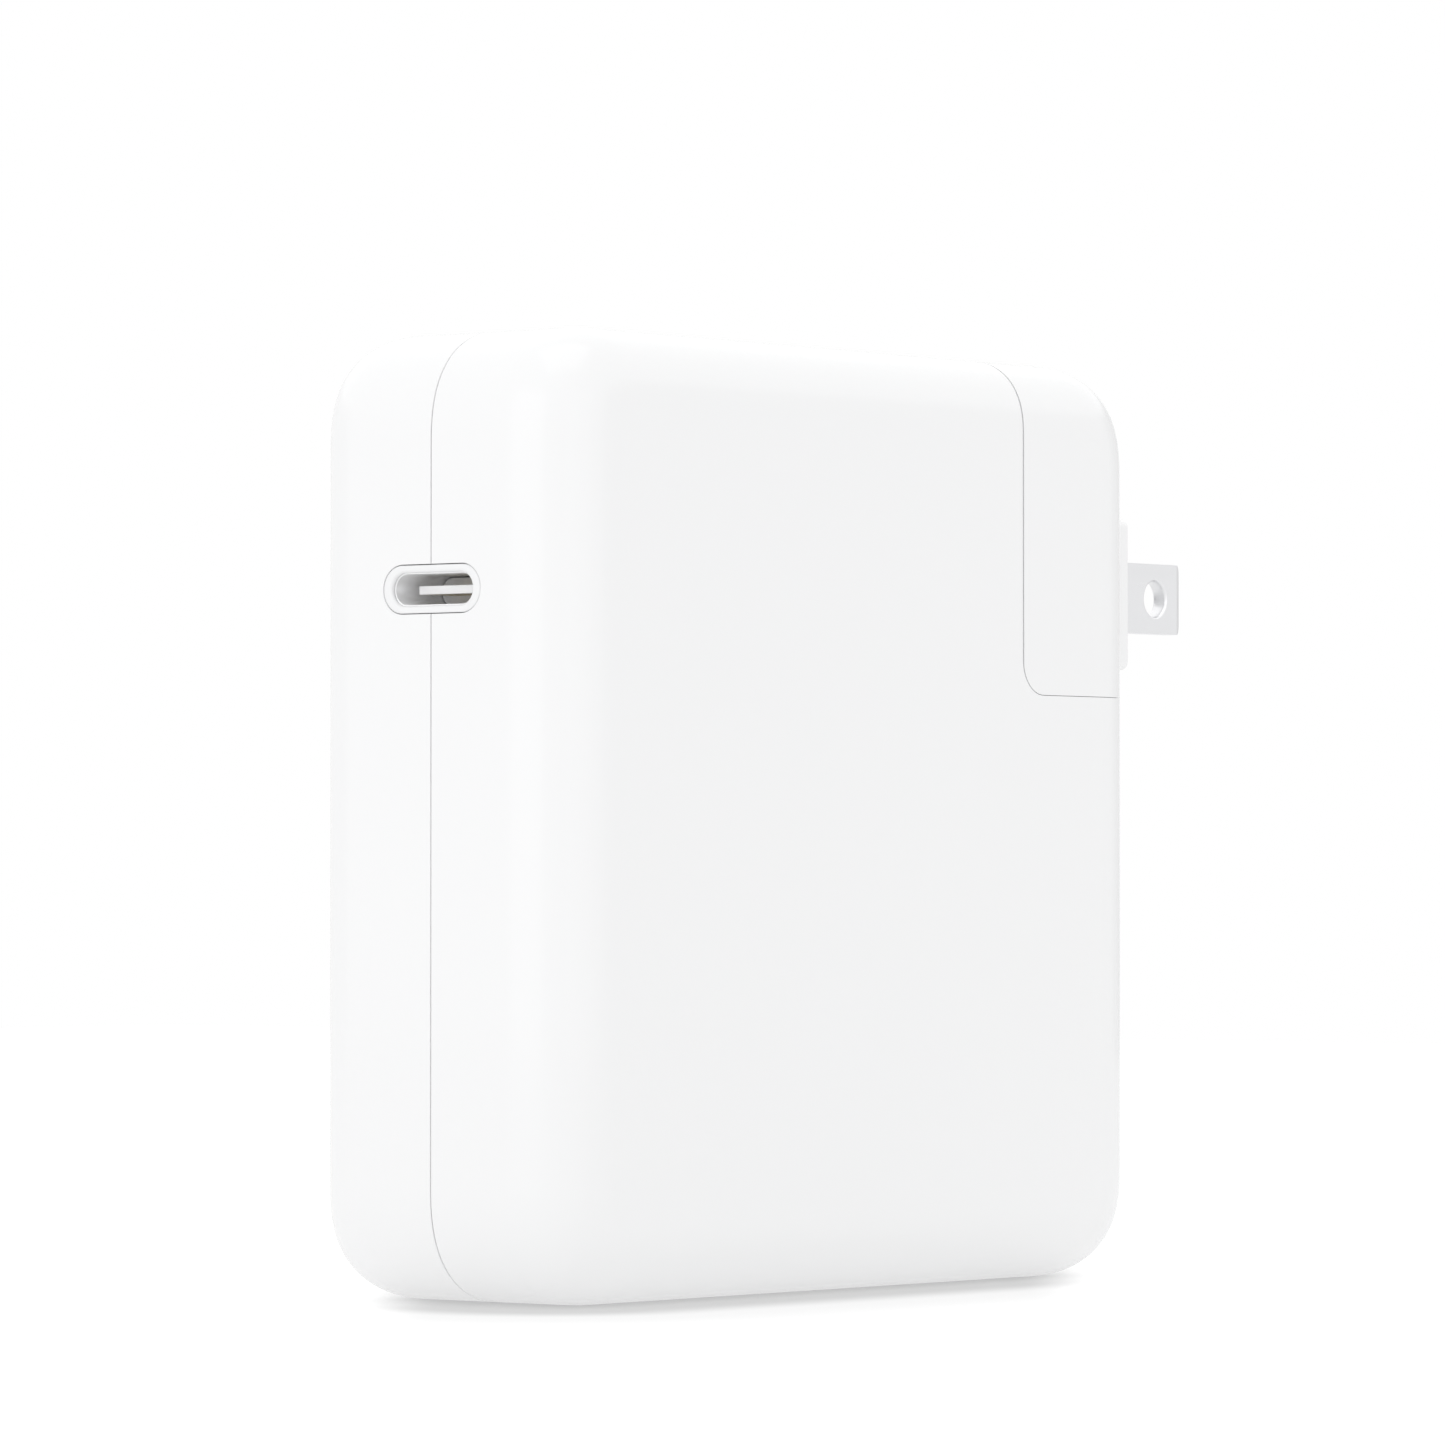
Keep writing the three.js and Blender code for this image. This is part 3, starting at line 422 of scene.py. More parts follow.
def slot_ring(sections: Sequence[Triple], height: float, steps: int = 72) -> Form:
    """A ring whose sections are slots with round ends about an axis along X.

    Args:
        sections: Place along X, length and width of each slot, in order round the ring's wall.
        height: Height of the axis.
        steps: Facets round it.

    Returns:
        The ring, closed.
    """
    shape = bmesh.new()
    turn = Matrix.Rotation(math.pi / 2, 4, "Y") @ Matrix.Rotation(math.pi / steps, 4, "Z")
    loops = []
    for x, length, width in sections:
        place = Matrix.Translation(Vector((x, 0.0, height)) * MM)
        made = bmesh.ops.create_circle(
            shape, cap_ends=False, segments=steps, radius=width / 2 * MM, matrix=place @ turn
        )
        for vert in made["verts"]:
            vert.co.y += math.copysign((length - width) / 2 * MM, vert.co.y)
        loops.append(list({edge for vert in made["verts"] for edge in vert.link_edges}))
    for before, after in zip(loops, loops[1:] + loops[:1]):
        bmesh.ops.bridge_loops(shape, edges=before + after)
    return Form(shape)


# ---------------------------------------------------------------------------- finishes


def _feed(tree: bpy.types.NodeTree, socket: bpy.types.NodeSocket, value: Value) -> None:
    """Links an input to another node's output, or sets its value.

    Args:
        tree: The node tree.
        socket: The input.
        value: Another node's output, a number or a vector.
    """
    if isinstance(value, bpy.types.NodeSocket):
        tree.links.new(value, socket)
    else:
        socket.default_value = value


def _maths(tree: bpy.types.NodeTree, what: str, *values: Value) -> bpy.types.NodeSocket:
    """Adds a Math node.

    Args:
        tree: The node tree.
        what: The operation.
        values: Its inputs, each a socket or a number.

    Returns:
        The node's output socket.
    """
    node = tree.nodes.new("ShaderNodeMath")
    node.operation = what
    for socket, value in zip(node.inputs, values):
        _feed(tree, socket, value)
    return node.outputs[0]


def _vector(tree: bpy.types.NodeTree, what: str, *values: Value) -> bpy.types.NodeSocket:
    """Adds a Vector Math node.

    Args:
        tree: The node tree.
        what: The operation.
        values: Its inputs, each a socket or a vector, and for SCALE a vector and a factor.

    Returns:
        The output socket that carries the operation's result.
    """
    node = tree.nodes.new("ShaderNodeVectorMath")
    node.operation = what
    inputs = [node.inputs[0], node.inputs["Scale"]] if what == "SCALE" else node.inputs
    for socket, value in zip(inputs, values):
        _feed(tree, socket, value)
    return node.outputs["Value" if what in ("LENGTH", "DOT_PRODUCT") else "Vector"]


def _noise(
    tree: bpy.types.NodeTree, where: bpy.types.NodeSocket, scale: Value, detail: float
) -> bpy.types.NodeSocket:
    """Adds a Noise node.

    Args:
        tree: The node tree.
        where: The place that the noise is read at.
        scale: Its scale.
        detail: How many finer layers it has.

    Returns:
        The node's output socket.
    """
    node = tree.nodes.new("ShaderNodeTexNoise")
    for label, value in (("Vector", where), ("Scale", scale), ("Detail", detail)):
        _feed(tree, node.inputs[label], value)
    return node.outputs["Fac"]


def _step(tree: bpy.types.NodeTree, value: Value, span: Span) -> bpy.types.NodeSocket:
    """Adds a smooth step from 0 to 1.

    Args:
        tree: The node tree.
        value: The value that the step follows.
        span: Where the step starts and ends.

    Returns:
        The node's output socket.
    """
    node = tree.nodes.new("ShaderNodeMapRange")
    node.interpolation_type = "SMOOTHSTEP"
    for label, given in (("Value", value), ("From Min", span[0]), ("From Max", span[1])):
        _feed(tree, node.inputs[label], given)
    return node.outputs["Result"]


SURFACE = {
    "INPUT": {
        "Vector": Kind.VECTOR,
        "Color": Kind.COLOR,
        "Mottle": Kind.NUMBER,
        "Roughness": Kind.NUMBER,
        "Spread": Kind.NUMBER,
        "Scale": Kind.NUMBER,
        "Fine Scale": Kind.NUMBER,
    },
    "OUTPUT": {"Color": Kind.COLOR, "Roughness": Kind.NUMBER, "Height": Kind.NUMBER},
}


def surface_group(name: str, stretch: Triple) -> bpy.types.NodeTree:
    """A group that varies a finish over its surface.

    Args:
        name: Name of the group, which is built once.
        stretch: How the pattern is drawn out along X, Y and Z: 1 each for an even one.

    Returns:
        The group.
    """
    found = bpy.data.node_groups.get(name)
    if found:
        return found
    tree = bpy.data.node_groups.new(name, "ShaderNodeTree")
    for way, sockets in SURFACE.items():
        for label, kind in sockets.items():
            tree.interface.new_socket(name=label, in_out=way, socket_type=kind.value)
    start = tree.nodes.new("NodeGroupInput")
    end = tree.nodes.new("NodeGroupOutput")
    drawn = _vector(tree, "MULTIPLY", start.outputs["Vector"], stretch)
    broad = _noise(tree, drawn, start.outputs["Scale"], detail=3.0)
    fine = _noise(tree, drawn, start.outputs["Fine Scale"], detail=2.0)
    shift = _maths(tree, "SUBTRACT", broad, 0.5)
    factor = _maths(tree, "ADD", _maths(tree, "MULTIPLY", shift, start.outputs["Mottle"]), 1.0)
    tinted = _vector(tree, "SCALE", start.outputs["Color"], factor)
    grain = _maths(tree, "SUBTRACT", fine, 0.5)
    spread = _maths(tree, "MULTIPLY", grain, start.outputs["Spread"])
    rough = _maths(tree, "ADD", spread, start.outputs["Roughness"])
    tree.links.new(tinted, end.inputs["Color"])
    tree.links.new(rough, end.inputs["Roughness"])
    tree.links.new(fine, end.inputs["Height"])
    return tree


@dataclass(frozen=True)
class Finish:
    """A finish whose colour, roughness and relief vary a little over the surface."""

    name: str
    color: Triple
    roughness: float
    metallic: float = 0.0
    mottle: float = 0.03
    spread: float = 0.05
    scale: float = 90.0
    fine_scale: float = 1400.0
    relief: float = 0.02
    depth: float = 0.00002
    coat: float = 0.0
    coat_roughness: float = 0.05
    ior: float = 1.49
    stretch: Triple = (1.0, 1.0, 1.0)

    def material(self) -> bpy.types.Material:
        """Builds the material the first time, and finds it again later.

        Returns:
            The material.
        """
        found = bpy.data.materials.get(self.name)
        if found:
            return found
        made = bpy.data.materials.new(self.name)
        made.use_nodes = True
        tree = made.node_tree
        shader = tree.nodes["Principled BSDF"]
        place = tree.nodes.new("ShaderNodeTexCoord")
        varied = tree.nodes.new("ShaderNodeGroup")
        even = self.stretch == (1.0, 1.0, 1.0)
        group = "moulded_surface" if even else "drawn_" + self.name
        varied.node_tree = surface_group(group, self.stretch)
        values = {
            "Color": (*self.color, 1.0),
            "Mottle": self.mottle,
            "Roughness": self.roughness,
            "Spread": self.spread,
            "Scale": self.scale,
            "Fine Scale": self.fine_scale,
        }
        for label, value in values.items():
            varied.inputs[label].default_value = value
        relief = tree.nodes.new("ShaderNodeBump")
        relief.inputs["Strength"].default_value = self.relief
        relief.inputs["Distance"].default_value = self.depth
        tree.links.new(place.outputs["Object"], varied.inputs["Vector"])
        tree.links.new(varied.outputs["Color"], shader.inputs["Base Color"])
        tree.links.new(varied.outputs["Roughness"], shader.inputs["Roughness"])
        tree.links.new(varied.outputs["Height"], relief.inputs["Height"])
        tree.links.new(relief.outputs["Normal"], shader.inputs["Normal"])
        shader.inputs["Metallic"].default_value = self.metallic
        shader.inputs["IOR"].default_value = self.ior
        shader.inputs["Coat Weight"].default_value = self.coat
        shader.inputs["Coat Roughness"].default_value = self.coat_roughness
        return made


GLOSS_WHITE = Finish(
    "gloss_white", (0.888, 0.89, 0.894), 0.22, mottle=0.006, spread=0.03, coat=0.4, relief=0.04
)
SATIN_WHITE = Finish("satin_white", (0.84, 0.844, 0.85), 0.46, mottle=0.015, relief=0.12)
PORT_WHITE = Finish("ring_white", (0.865, 0.868, 0.875), 0.3, mottle=0.008, coat=0.2)
TONGUE_WHITE = Finish("tongue_white", (0.95, 0.951, 0.955), 0.35, mottle=0.008)
NICKEL = Finish(
    "nickel_plate", (0.805, 0.808, 0.82), 0.3, metallic=0.9, mottle=0.05, spread=0.1,
    scale=220.0, fine_scale=900.0, relief=0.08, stretch=(0.12, 1.0, 1.6),
)
# Painted light: this steel's colour is set near white, far lighter than bare steel, so that the
# shaded inside of the port reads light.
LIGHTENED_PORT_STEEL = Finish(
    "satin_steel", (0.975, 0.977, 0.985), 0.3, metallic=0.35, mottle=0.02,
    stretch=(0.1, 1.0, 1.0),
)
SPRING_STEEL = Finish("sprung_strip", (0.66, 0.67, 0.69), 0.36, metallic=1.0, mottle=0.05)
GOLD = Finish("flash_gold", (0.9, 0.8, 0.6), 0.28, metallic=1.0, mottle=0.04)
COPPER = Finish(
    "enamelled_copper", (0.72, 0.4, 0.24), 0.42, metallic=1.0, mottle=0.2, spread=0.2,
    scale=300.0, relief=0.6, stretch=(1.0, 1.0, 6.0),
)
ALUMINIUM = Finish(
    "rolled_aluminium", (0.78, 0.785, 0.79), 0.38, metallic=1.0, mottle=0.08,
    stretch=(0.05, 1.0, 1.0),
)
BOARD = Finish("board_laminate", (0.03, 0.16, 0.075), 0.4, mottle=0.35, scale=500.0, relief=0.2)
BLACK = Finish("moulded_black", (0.018, 0.019, 0.021), 0.5, mottle=0.3, relief=0.3)
SLEEVE = Finish("capacitor_sleeve", (0.02, 0.028, 0.04), 0.3, mottle=0.2)
BLUE = Finish("dipped_blue", (0.03, 0.12, 0.38), 0.3, mottle=0.15)
YELLOW = Finish("wrapped_yellow", (0.72, 0.45, 0.04), 0.42, mottle=0.1)
FERRITE = Finish(
    "sintered_ferrite", (0.045, 0.045, 0.05), 0.62, mottle=0.4, scale=700.0, relief=0.5
)
PAD = Finish("thermal_pad", (0.18, 0.26, 0.4), 0.75, mottle=0.15, relief=0.4)


def dress(finish: Finish, *nodes: str, soft: float = 0.0) -> None:
    """Gives nodes of the frame a finish, and soft edges where asked.

    Args:
        finish: The finish.
        nodes: Names of the nodes.
        soft: Width of the rounding of their sharp edges, in millimetres.
    """
    for name in nodes:
        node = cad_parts[name]
        node.data.materials.clear()
        node.data.materials.append(finish.material())
        if soft:
            weld = node.modifiers.new("weld", "WELD")
            weld.merge_threshold = 10 * SAME
            bevel = node.modifiers.new("soft_edges", "BEVEL")
            bevel.width = soft * MM
            bevel.segments = 3
            bevel.limit_method = "ANGLE"
            bevel.angle_limit = SHARP
        LOG.info("%s: %s", name, finish.name)


# ---------------------------------------------------------------------------- housing


@dataclass
class Housing:
    """The two shells, with the corner that the plug module fills."""

    half_width: float = 40.0
    half_depth: float = 14.2
    height: float = 80.0
    corner_reach: float = 9.6
    corner_profile: float = 0.5612  # the bevel's value for a superellipse of power 2.4
    edge_reach: float = 6.5
    edge_profile: float = 0.5473  # the same for a power of 2.3
    wall: float = 2.0
    seam: float = 0.1
    seam_gap: float = 0.07
    seam_round: float = 0.1
    seam_near: float = 0.005
    seam_clear: float = 1.0
    notch_x: float = 21.8
    ledge_z: float = 50.8
    notch_round: float = 3.0
    notch_rim: float = 0.08
    notch_steps: int = 14
    corner_steps: int = 24
    edge_steps: int = 20
    fewest_steps: int = 4
    port_rim: float = 0.1

    def pillow(self, inset: float = 0.0, fineness: float = 1.0) -> Form:
        """The housing's whole rounded form.

        Args:
            inset: How far it is drawn in on every side.
            fineness: Share of the full number of facets.

        Returns:
            The form, closed.
        """
        half_width = self.half_width - inset
        half_depth = self.half_depth - inset
        shape = block_shape(
            (-half_width, half_width), (-half_depth, half_depth), (inset, self.height - inset)
        )
        steps = max(self.fewest_steps, round(self.corner_steps * fineness))
        reach = self.corner_reach - inset
        round_edges(shape, edges_along(shape, Axis.Y), reach, steps, self.corner_profile)
        rims = [
            edge
            for edge in shape.edges
            if abs(edge.verts[0].co.y - edge.verts[1].co.y) < SAME
            and all(abs(abs(vert.co.y) - half_depth * MM) < SAME for vert in edge.verts)
        ]
        steps = max(self.fewest_steps, round(self.edge_steps * fineness))
        round_edges(shape, rims, self.edge_reach - inset, steps, self.edge_profile)
        return Form(shape)

    def corner(self, x: float, z: float, radius: float) -> Form:
        """The block that the plug module's corner takes up, with one long edge rounded.

        Args:
            x: Its left side.
            z: Its foot.
            radius: Radius of its lower left edge.

        Returns:
            The block.
        """
        shape = block_shape((x, FAR), (-FAR, FAR), (z, self.height + FAR))
        inner = [
            edge
            for edge in edges_along(shape, Axis.Y)
            if abs(edge.verts[0].co.x - x * MM) < SAME and abs(edge.verts[0].co.z - z * MM) < SAME
        ]
        round_edges(shape, inner, radius, self.notch_steps)
        return Form(shape)

    def lining(self) -> Form:
        """The hollow inside the shells, which follows the notch.

        Returns:
            The hollow, as a form.
        """
        hollow = self.pillow(self.wall, fineness=0.4)
        notch = self.corner(
            self.notch_x - self.wall, self.ledge_z - self.wall, self.notch_round + self.wall
        )
        return hollow.minus(notch)

    def port_hole(self, port: "Port") -> Form:
        """The hole in the left wall for the port's frame.

        Args:
            port: The power port.

        Returns:
            The hole, as a form.
        """
        grow = 2 * port.fit
        along = (-FAR, -self.half_width + self.wall + 2 * PAST)
        return port.slot_form(port.length + grow, port.width + grow, along)

    def on_notch(self, place: Vector) -> bool:
        """Finds the edges of the notch's outer rim.

        Args:
            place: The edge's middle, in millimetres.

        Returns:
            True for an edge that lies there.
        """
        dx = place.x - (self.notch_x + self.notch_round)
        dz = place.z - (self.ledge_z + self.notch_round)
        on_wall = abs(place.x - self.notch_x) < ON_FACE and dz > 0.0
        on_ledge = abs(place.z - self.ledge_z) < ON_FACE and dx > 0.0
        away_from_seam = abs(place.y - self.seam) > self.seam_clear
        return (on_wall or on_ledge or in_curve(dx, dz, self.notch_round)) and away_from_seam

    def shell(self, side: float, port: "Port", inlet: "Inlet", node: str) -> bpy.types.Object:
        """One of the two shells.

        Args:
            side: -1 for the front shell, 1 for the rear one.
            port: The power port, for its hole.
            inlet: The inlet, for its holes.
            node: The CAD node that the shell is shown in place of.

        Returns:
            The shell's piece.
        """
        edge = self.seam + side * self.seam_gap / 2
        half = (-FAR, edge) if side < 0 else (edge, FAR)
        form = self.pillow().within(block((-FAR, FAR), half, (-FAR, 2 * FAR)))
        near = self.seam_near
        form.soften(self.seam_round, steps=3, where=lambda place: abs(place.y - edge) < near)
        form.minus(self.corner(self.notch_x, self.ledge_z, self.notch_round))
        form.soften(self.notch_rim, steps=3, where=self.on_notch)
        form.minus(self.lining(), self.port_hole(port), *inlet.holes(self))
        form.soften(self.port_rim, steps=2, where=port.on_outline)
        return form.piece(node + "_skin", GLOSS_WHITE, Body.ADAPTER, "shell_white", [node])

    def build(self, port: "Port", inlet: "Inlet") -> None:
        """Builds both shells and dresses what lies inside them.

        Args:
            port: The power port, for its hole.
            inlet: The inlet, for its holes.
        """
        self.shell(-1.0, port, inlet, "front_shell")
        self.shell(1.0, port, inlet, "rear_shell")
        dress(ALUMINIUM, "heat_spreader_front", "heat_spreader_rear")


# ---------------------------------------------------------------------------- port


@dataclass
class Port:
    """The reversible power port in the left side."""

    height: float = 58.5
    length: float = 10.4
    width: float = 3.96
    mouth_length: float = 8.6
    mouth_width: float = 2.7
    face_x: float = -40.0
    wall: float = 2.0  # of the housing, in front of the flange
    flange: float = 1.0
    flange_gap: float = 0.15
    flange_depth: float = 0.8
    fit: float = 0.06
    rim_near: float = 0.3
    outer_edge: float = 0.12
    lip: float = 0.28
    lip_gap: float = 0.05
    steel_front: float = 0.4
    steel_depth: float = 7.6
    steel: float = 0.3
    steel_edge: float = 0.08
    step: float = 0.2  # by which each form inside the mouth is smaller than the one round it
    tongue_length: float = 6.7
    tongue_thickness: float = 0.5
    tongue_corner: float = 0.35
    tongue_inset: float = 2.2
    tongue_lip: float = 0.5
    tongue_edge: float = 0.06
    tongue_join: float = 0.5
    contact: float = 0.1
    root: float = 2.4
    board_gap: float = 0.5

    def slot_form(self, length: float, width: float, along: Span, steps: int = 16) -> Form:
        """A bar with round ends about the port's axis.

        Args:
            length: Its length along Y.
            width: Its height.
            along: Its two ends along X.
            steps: Facets across each quarter of its ends.

        Returns:
            The bar.
        """
        half = length / 2
        return rounded_block(
            along,
            (-half, half),
            (self.height - width / 2, self.height + width / 2),
            Axis.X,
            width / 2 - HAIR,
            steps,
        )

    def plate(self, along: Span, half: float) -> Form:
        """A flat bar across the port, with round front corners.

        Args:
            along: Its two ends along X.
            half: Half its thickness.

        Returns:
            The bar.
        """
        side = self.tongue_length / 2
        height = (self.height - half, self.height + half)
        return rounded_block(along, (-side, side), height, Axis.Z, self.tongue_corner, steps=6)

    def at_face(self, place: Vector) -> bool:
        """Says whether an edge's middle lies on the housing's left side."""
        return place.x < self.face_x + ON_FACE

    def on_mouth(self, place: Vector) -> bool:
        """Finds the edges of the mouth's rim.

        Args:
            place: The edge's middle, in millimetres.

        Returns:
            True for an edge that lies there.
        """
        across = max(0.0, abs(place.y) - (self.mouth_length - self.mouth_width) / 2)
        reach = math.hypot(across, place.z - self.height)
        return self.at_face(place) and reach < (self.mouth_width + self.width) / 4

    def on_frame(self, place: Vector) -> bool:
        """Says whether an edge's middle lies on the frame's outer rim."""
        return self.at_face(place) and not self.on_mouth(place)

    def on_outline(self, place: Vector) -> bool:
        """Finds the edges of the rim of the frame's hole.

        Args:
            place: The edge's middle, in millimetres.

        Returns:
            True for an edge that lies there.
        """
        beside = abs(place.y) < self.length / 2 + self.rim_near
        near = abs(place.z - self.height) < self.width / 2 + self.rim_near
        return self.at_face(place) and beside and near

    def build(self) -> None:
        """Builds the frame, the steel shell and the tongue, and dresses the rest."""
        face = self.face_x
        front = face + self.steel_front
        flange = face + self.wall + self.flange_gap
        flange_back = flange + self.flange_depth
        seat = front - self.lip_gap
        outer = (self.length, self.width)
        mouth = (self.mouth_length, self.mouth_width)
        wide = tuple(size + 2 * self.flange for size in outer)
        inner = tuple(size + 2 * self.steel for size in mouth)
        ring = [
            (face, *outer), (flange, *outer), (flange, *wide), (flange_back, *wide),
            (flange_back, *inner), (seat, *inner), (seat, *mouth), (face, *mouth),
        ]
        bezel = slot_ring(ring, self.height)
        bezel.soften(self.lip, steps=6, where=self.on_mouth)
        bezel.soften(self.outer_edge, steps=3, where=self.on_frame)
        bezel.piece("port_frame", PORT_WHITE, Body.ADAPTER, "port_white", ["port_bezel"])

        bore = tuple(size - self.step for size in mouth)
        jacket = tuple(size + 2 * self.steel for size in bore)
        back = front + self.steel_depth
        pipe = [(front, *bore), (back, *bore), (back, *jacket), (front, *jacket)]
        steel = slot_ring(pipe, self.height)
        steel.soften(self.steel_edge, steps=2, where=lambda place: place.x < front + ON_FACE)
        steel.piece("port_steel_shell", LIGHTENED_PORT_STEEL, Body.ADAPTER, "port_steel", ["port_shell"])

        nose = face + self.tongue_inset
        rear = back + self.board_gap
        thin = self.tongue_thickness / 2
        tongue = self.plate((nose, rear - self.root + self.tongue_join), thin)
        lip = self.plate((nose, nose + self.tongue_lip), thin + self.contact)
        lip.soften(self.tongue_edge, steps=3)
        root = self.slot_form(*(size - self.step for size in bore), (rear - self.root, rear))
        tongue.plus(lip, root)
        tongue.piece("port_tongue_plate", TONGUE_WHITE, Body.ADAPTER, "port_white", ["port_tongue"])
        dress(GOLD, "port_contacts_upper", "port_contacts_lower")
        dress(BOARD, "port_board")


# ---------------------------------------------------------------------------- inlet


@dataclass
class Inlet:
    """The figure-8 inlet under the plug module, with its pins and the guide post."""

    x: float = 31.0
    lobe: float = 3.8
    spacing: float = 5.8
    waist: float = 6.1
    gap: float = 0.3
    post_z: float = 62.3
    stem_radius: float = 2.1
    stem_gap: float = 0.15
    pin_edge: float = 0.18

    def figure(self, grow: float, along: Span) -> list[Form]:
        """Three upright forms that make the figure-8 outline together.

        Args:
            grow: How much wider than the nose the outline is.
            along: Its two heights.

        Returns:
            Two lobes and the waist between them.
        """
        y = self.spacing / 2
        half = self.waist / 2 + grow * self.waist / (2 * self.lobe)
        return [
            rod(Axis.Z, (self.x, -y), self.lobe + grow, along),
            rod(Axis.Z, (self.x, y), self.lobe + grow, along),
            block((self.x - half, self.x + half), (-y, y), along),
        ]

    def holes(self, housing: Housing) -> list[Form]:
        """The socket's opening in the ledge and the post's hole in the notch's wall.

        Args:
            housing: The housing, for its notch.

        Returns:
            The holes, as forms.
        """
        ledge, wall = (
            (face - housing.wall - PAST, face + 2 * PAST)
            for face in (housing.ledge_z, housing.notch_x)
        )
        stem = rod(Axis.X, (0.0, self.post_z), self.stem_radius + self.stem_gap, wall)
        return [*self.figure(self.gap, ledge), stem]

    def build(self) -> None:
        """Dresses the inlet's CAD nodes, and softens the edges that show in the notch."""
        dress(SATIN_WHITE, "inlet_block")
        dress(NICKEL, "inlet_pin_near", "inlet_pin_far", "guide_post", soft=self.pin_edge)
        dress(SPRING_STEEL, "ground_ring")


# ---------------------------------------------------------------------------- plug module


@dataclass
class PlugModule:
    """The corner module that carries the blades and slides up off the housing."""

    x: float = 22.0
    z: float = 50.84
    corner_round: float = 2.85
    rim: float = 0.03
    rim_wall: float = 2.5
    sill_top: float = 54.85
    below: float = 30.0  # under the nose's tip
    pad_root: float = 37.0
    pad_x: float = 41.6
    pad_y: float = 11.15
    pad_z: Span = (53.4, 66.8)
    pad_corner: float = 0.8
    pad_edge: float = 0.12
    cover_depth: float = 1.6
    cover_half: float = 12.6
    cover_z: Span = (53.95, 78.4)
    cover_corner: float = 5.0
    slot_y: float = 6.35
    slot_half: float = 1.05
    slot_back: float = 31.65
    slot_z: Span = (54.7, 77.4)
    slot_wall: float = 1.1
    pivot: Span = (37.2, 58.0)
    hub: float = 3.3
    axle: float = 1.28
    axle_half: float = 10.2
    nose_tip: float = 39.45
    nose_edge: float = 0.6
    nose_join: float = 0.5
    slot_stem: float = 2.4
    slot_join: float = 0.1
    slot_head: float = 4.0
    slot_head_x: Span = (23.45, 25.35)
    pin: float = 1.5
    pin_y: float = 4.3
    sleeve: float = 1.9
    sleeve_z: float = 40.8
    strip_x: float = 28.75
    strip_half: float = 1.05
    strip_z: float = 42.3
    mouth_edge: float = 0.12
    cover_edge: float = 0.12

    def blade_slots(self, grow: float = 0.0) -> list[Form]:
        """The two slots that the blades fold into.

        Args:
            grow: How far they are grown on each side.

        Returns:
            The slots, as forms.
        """
        half = self.slot_half + grow
        height = (self.slot_z[0] - grow, self.slot_z[1] + grow)
        return [
            block((self.slot_back, FAR), (y - half, y + half), height)
            for y in (-self.slot_y, self.slot_y)
        ]

    def hollow(self, housing: Housing) -> Form:
        """The room inside the module, with the slots' side walls left standing.

        Args:
            housing: The housing, whose form the module follows.

        Returns:
            The room, as a form.
        """
        above = block((self.x - PAST, FAR), (-FAR, FAR), (self.sill_top, 2 * FAR))
        room = housing.pillow(self.rim_wall, fineness=0.5).within(above)
        return room.minus(*self.blade_slots(self.slot_wall))

    def guide_slot(self, inlet: Inlet) -> list[Form]:
        """The T-slot for the post's stem and head, open at the module's foot.

        Args:
            inlet: The inlet, for its post.

        Returns:
            The slot's parts, as forms.
        """
        made = []
        stem_x = (self.x - PAST, self.slot_head_x[0] + self.slot_join)
        for half, along in ((self.slot_stem, stem_x), (self.slot_head, self.slot_head_x)):
            made.append(block(along, (-half, half), (self.below, inlet.post_z)))
            made.append(rod(Axis.X, (0.0, inlet.post_z), half, along))
        return made

    def pivot_ways(self) -> list[Form]:
        """Round ways for the bridge and the axle, open at the back.

        Returns:
            The ways, as forms.
        """
        made = []
        x, z = self.pivot
        for radius, half in ((self.hub, self.slot_y), (self.axle, self.axle_half)):
            made.append(rod(Axis.Y, self.pivot, radius, (-half, half)))
            made.append(block((self.slot_back - PAST, x), (-half, half), (z - radius, z + radius)))
        return made

    def contact_ways(self, inlet: Inlet) -> list[Form]:
        """The nose's mouths for the pins, and the ways of the sleeves and strips above them.

        Args:
            inlet: The inlet, for its pins.

        Returns:
            The ways, as forms.
        """
        made = []
        top = self.sill_top + PAST
        for y in (-self.pin_y, self.pin_y):
            strip_y = (y - self.strip_half, y + self.strip_half)
            made.append(rod(Axis.Z, (inlet.x, y), self.pin, (self.below, self.sill_top)))
            made.append(rod(Axis.Z, (inlet.x, y), self.sleeve, (self.sleeve_z, top)))
            made.append(block((self.strip_x, inlet.x), strip_y, (self.strip_z, top)))
        return made

    def on_rim(self, place: Vector) -> bool:
        """Finds the edges of the module's outer rim.

        Args:
            place: The edge's middle, in millimetres.

        Returns:
            True for an edge that lies there.
        """
        on_side = abs(place.x - self.x) < ON_FACE
        on_foot = abs(place.z - self.z) < ON_FACE
        dx = place.x - (self.x + self.corner_round)
        dz = place.z - (self.z + self.corner_round)
        return on_side or on_foot or in_curve(dx, dz, self.corner_round)

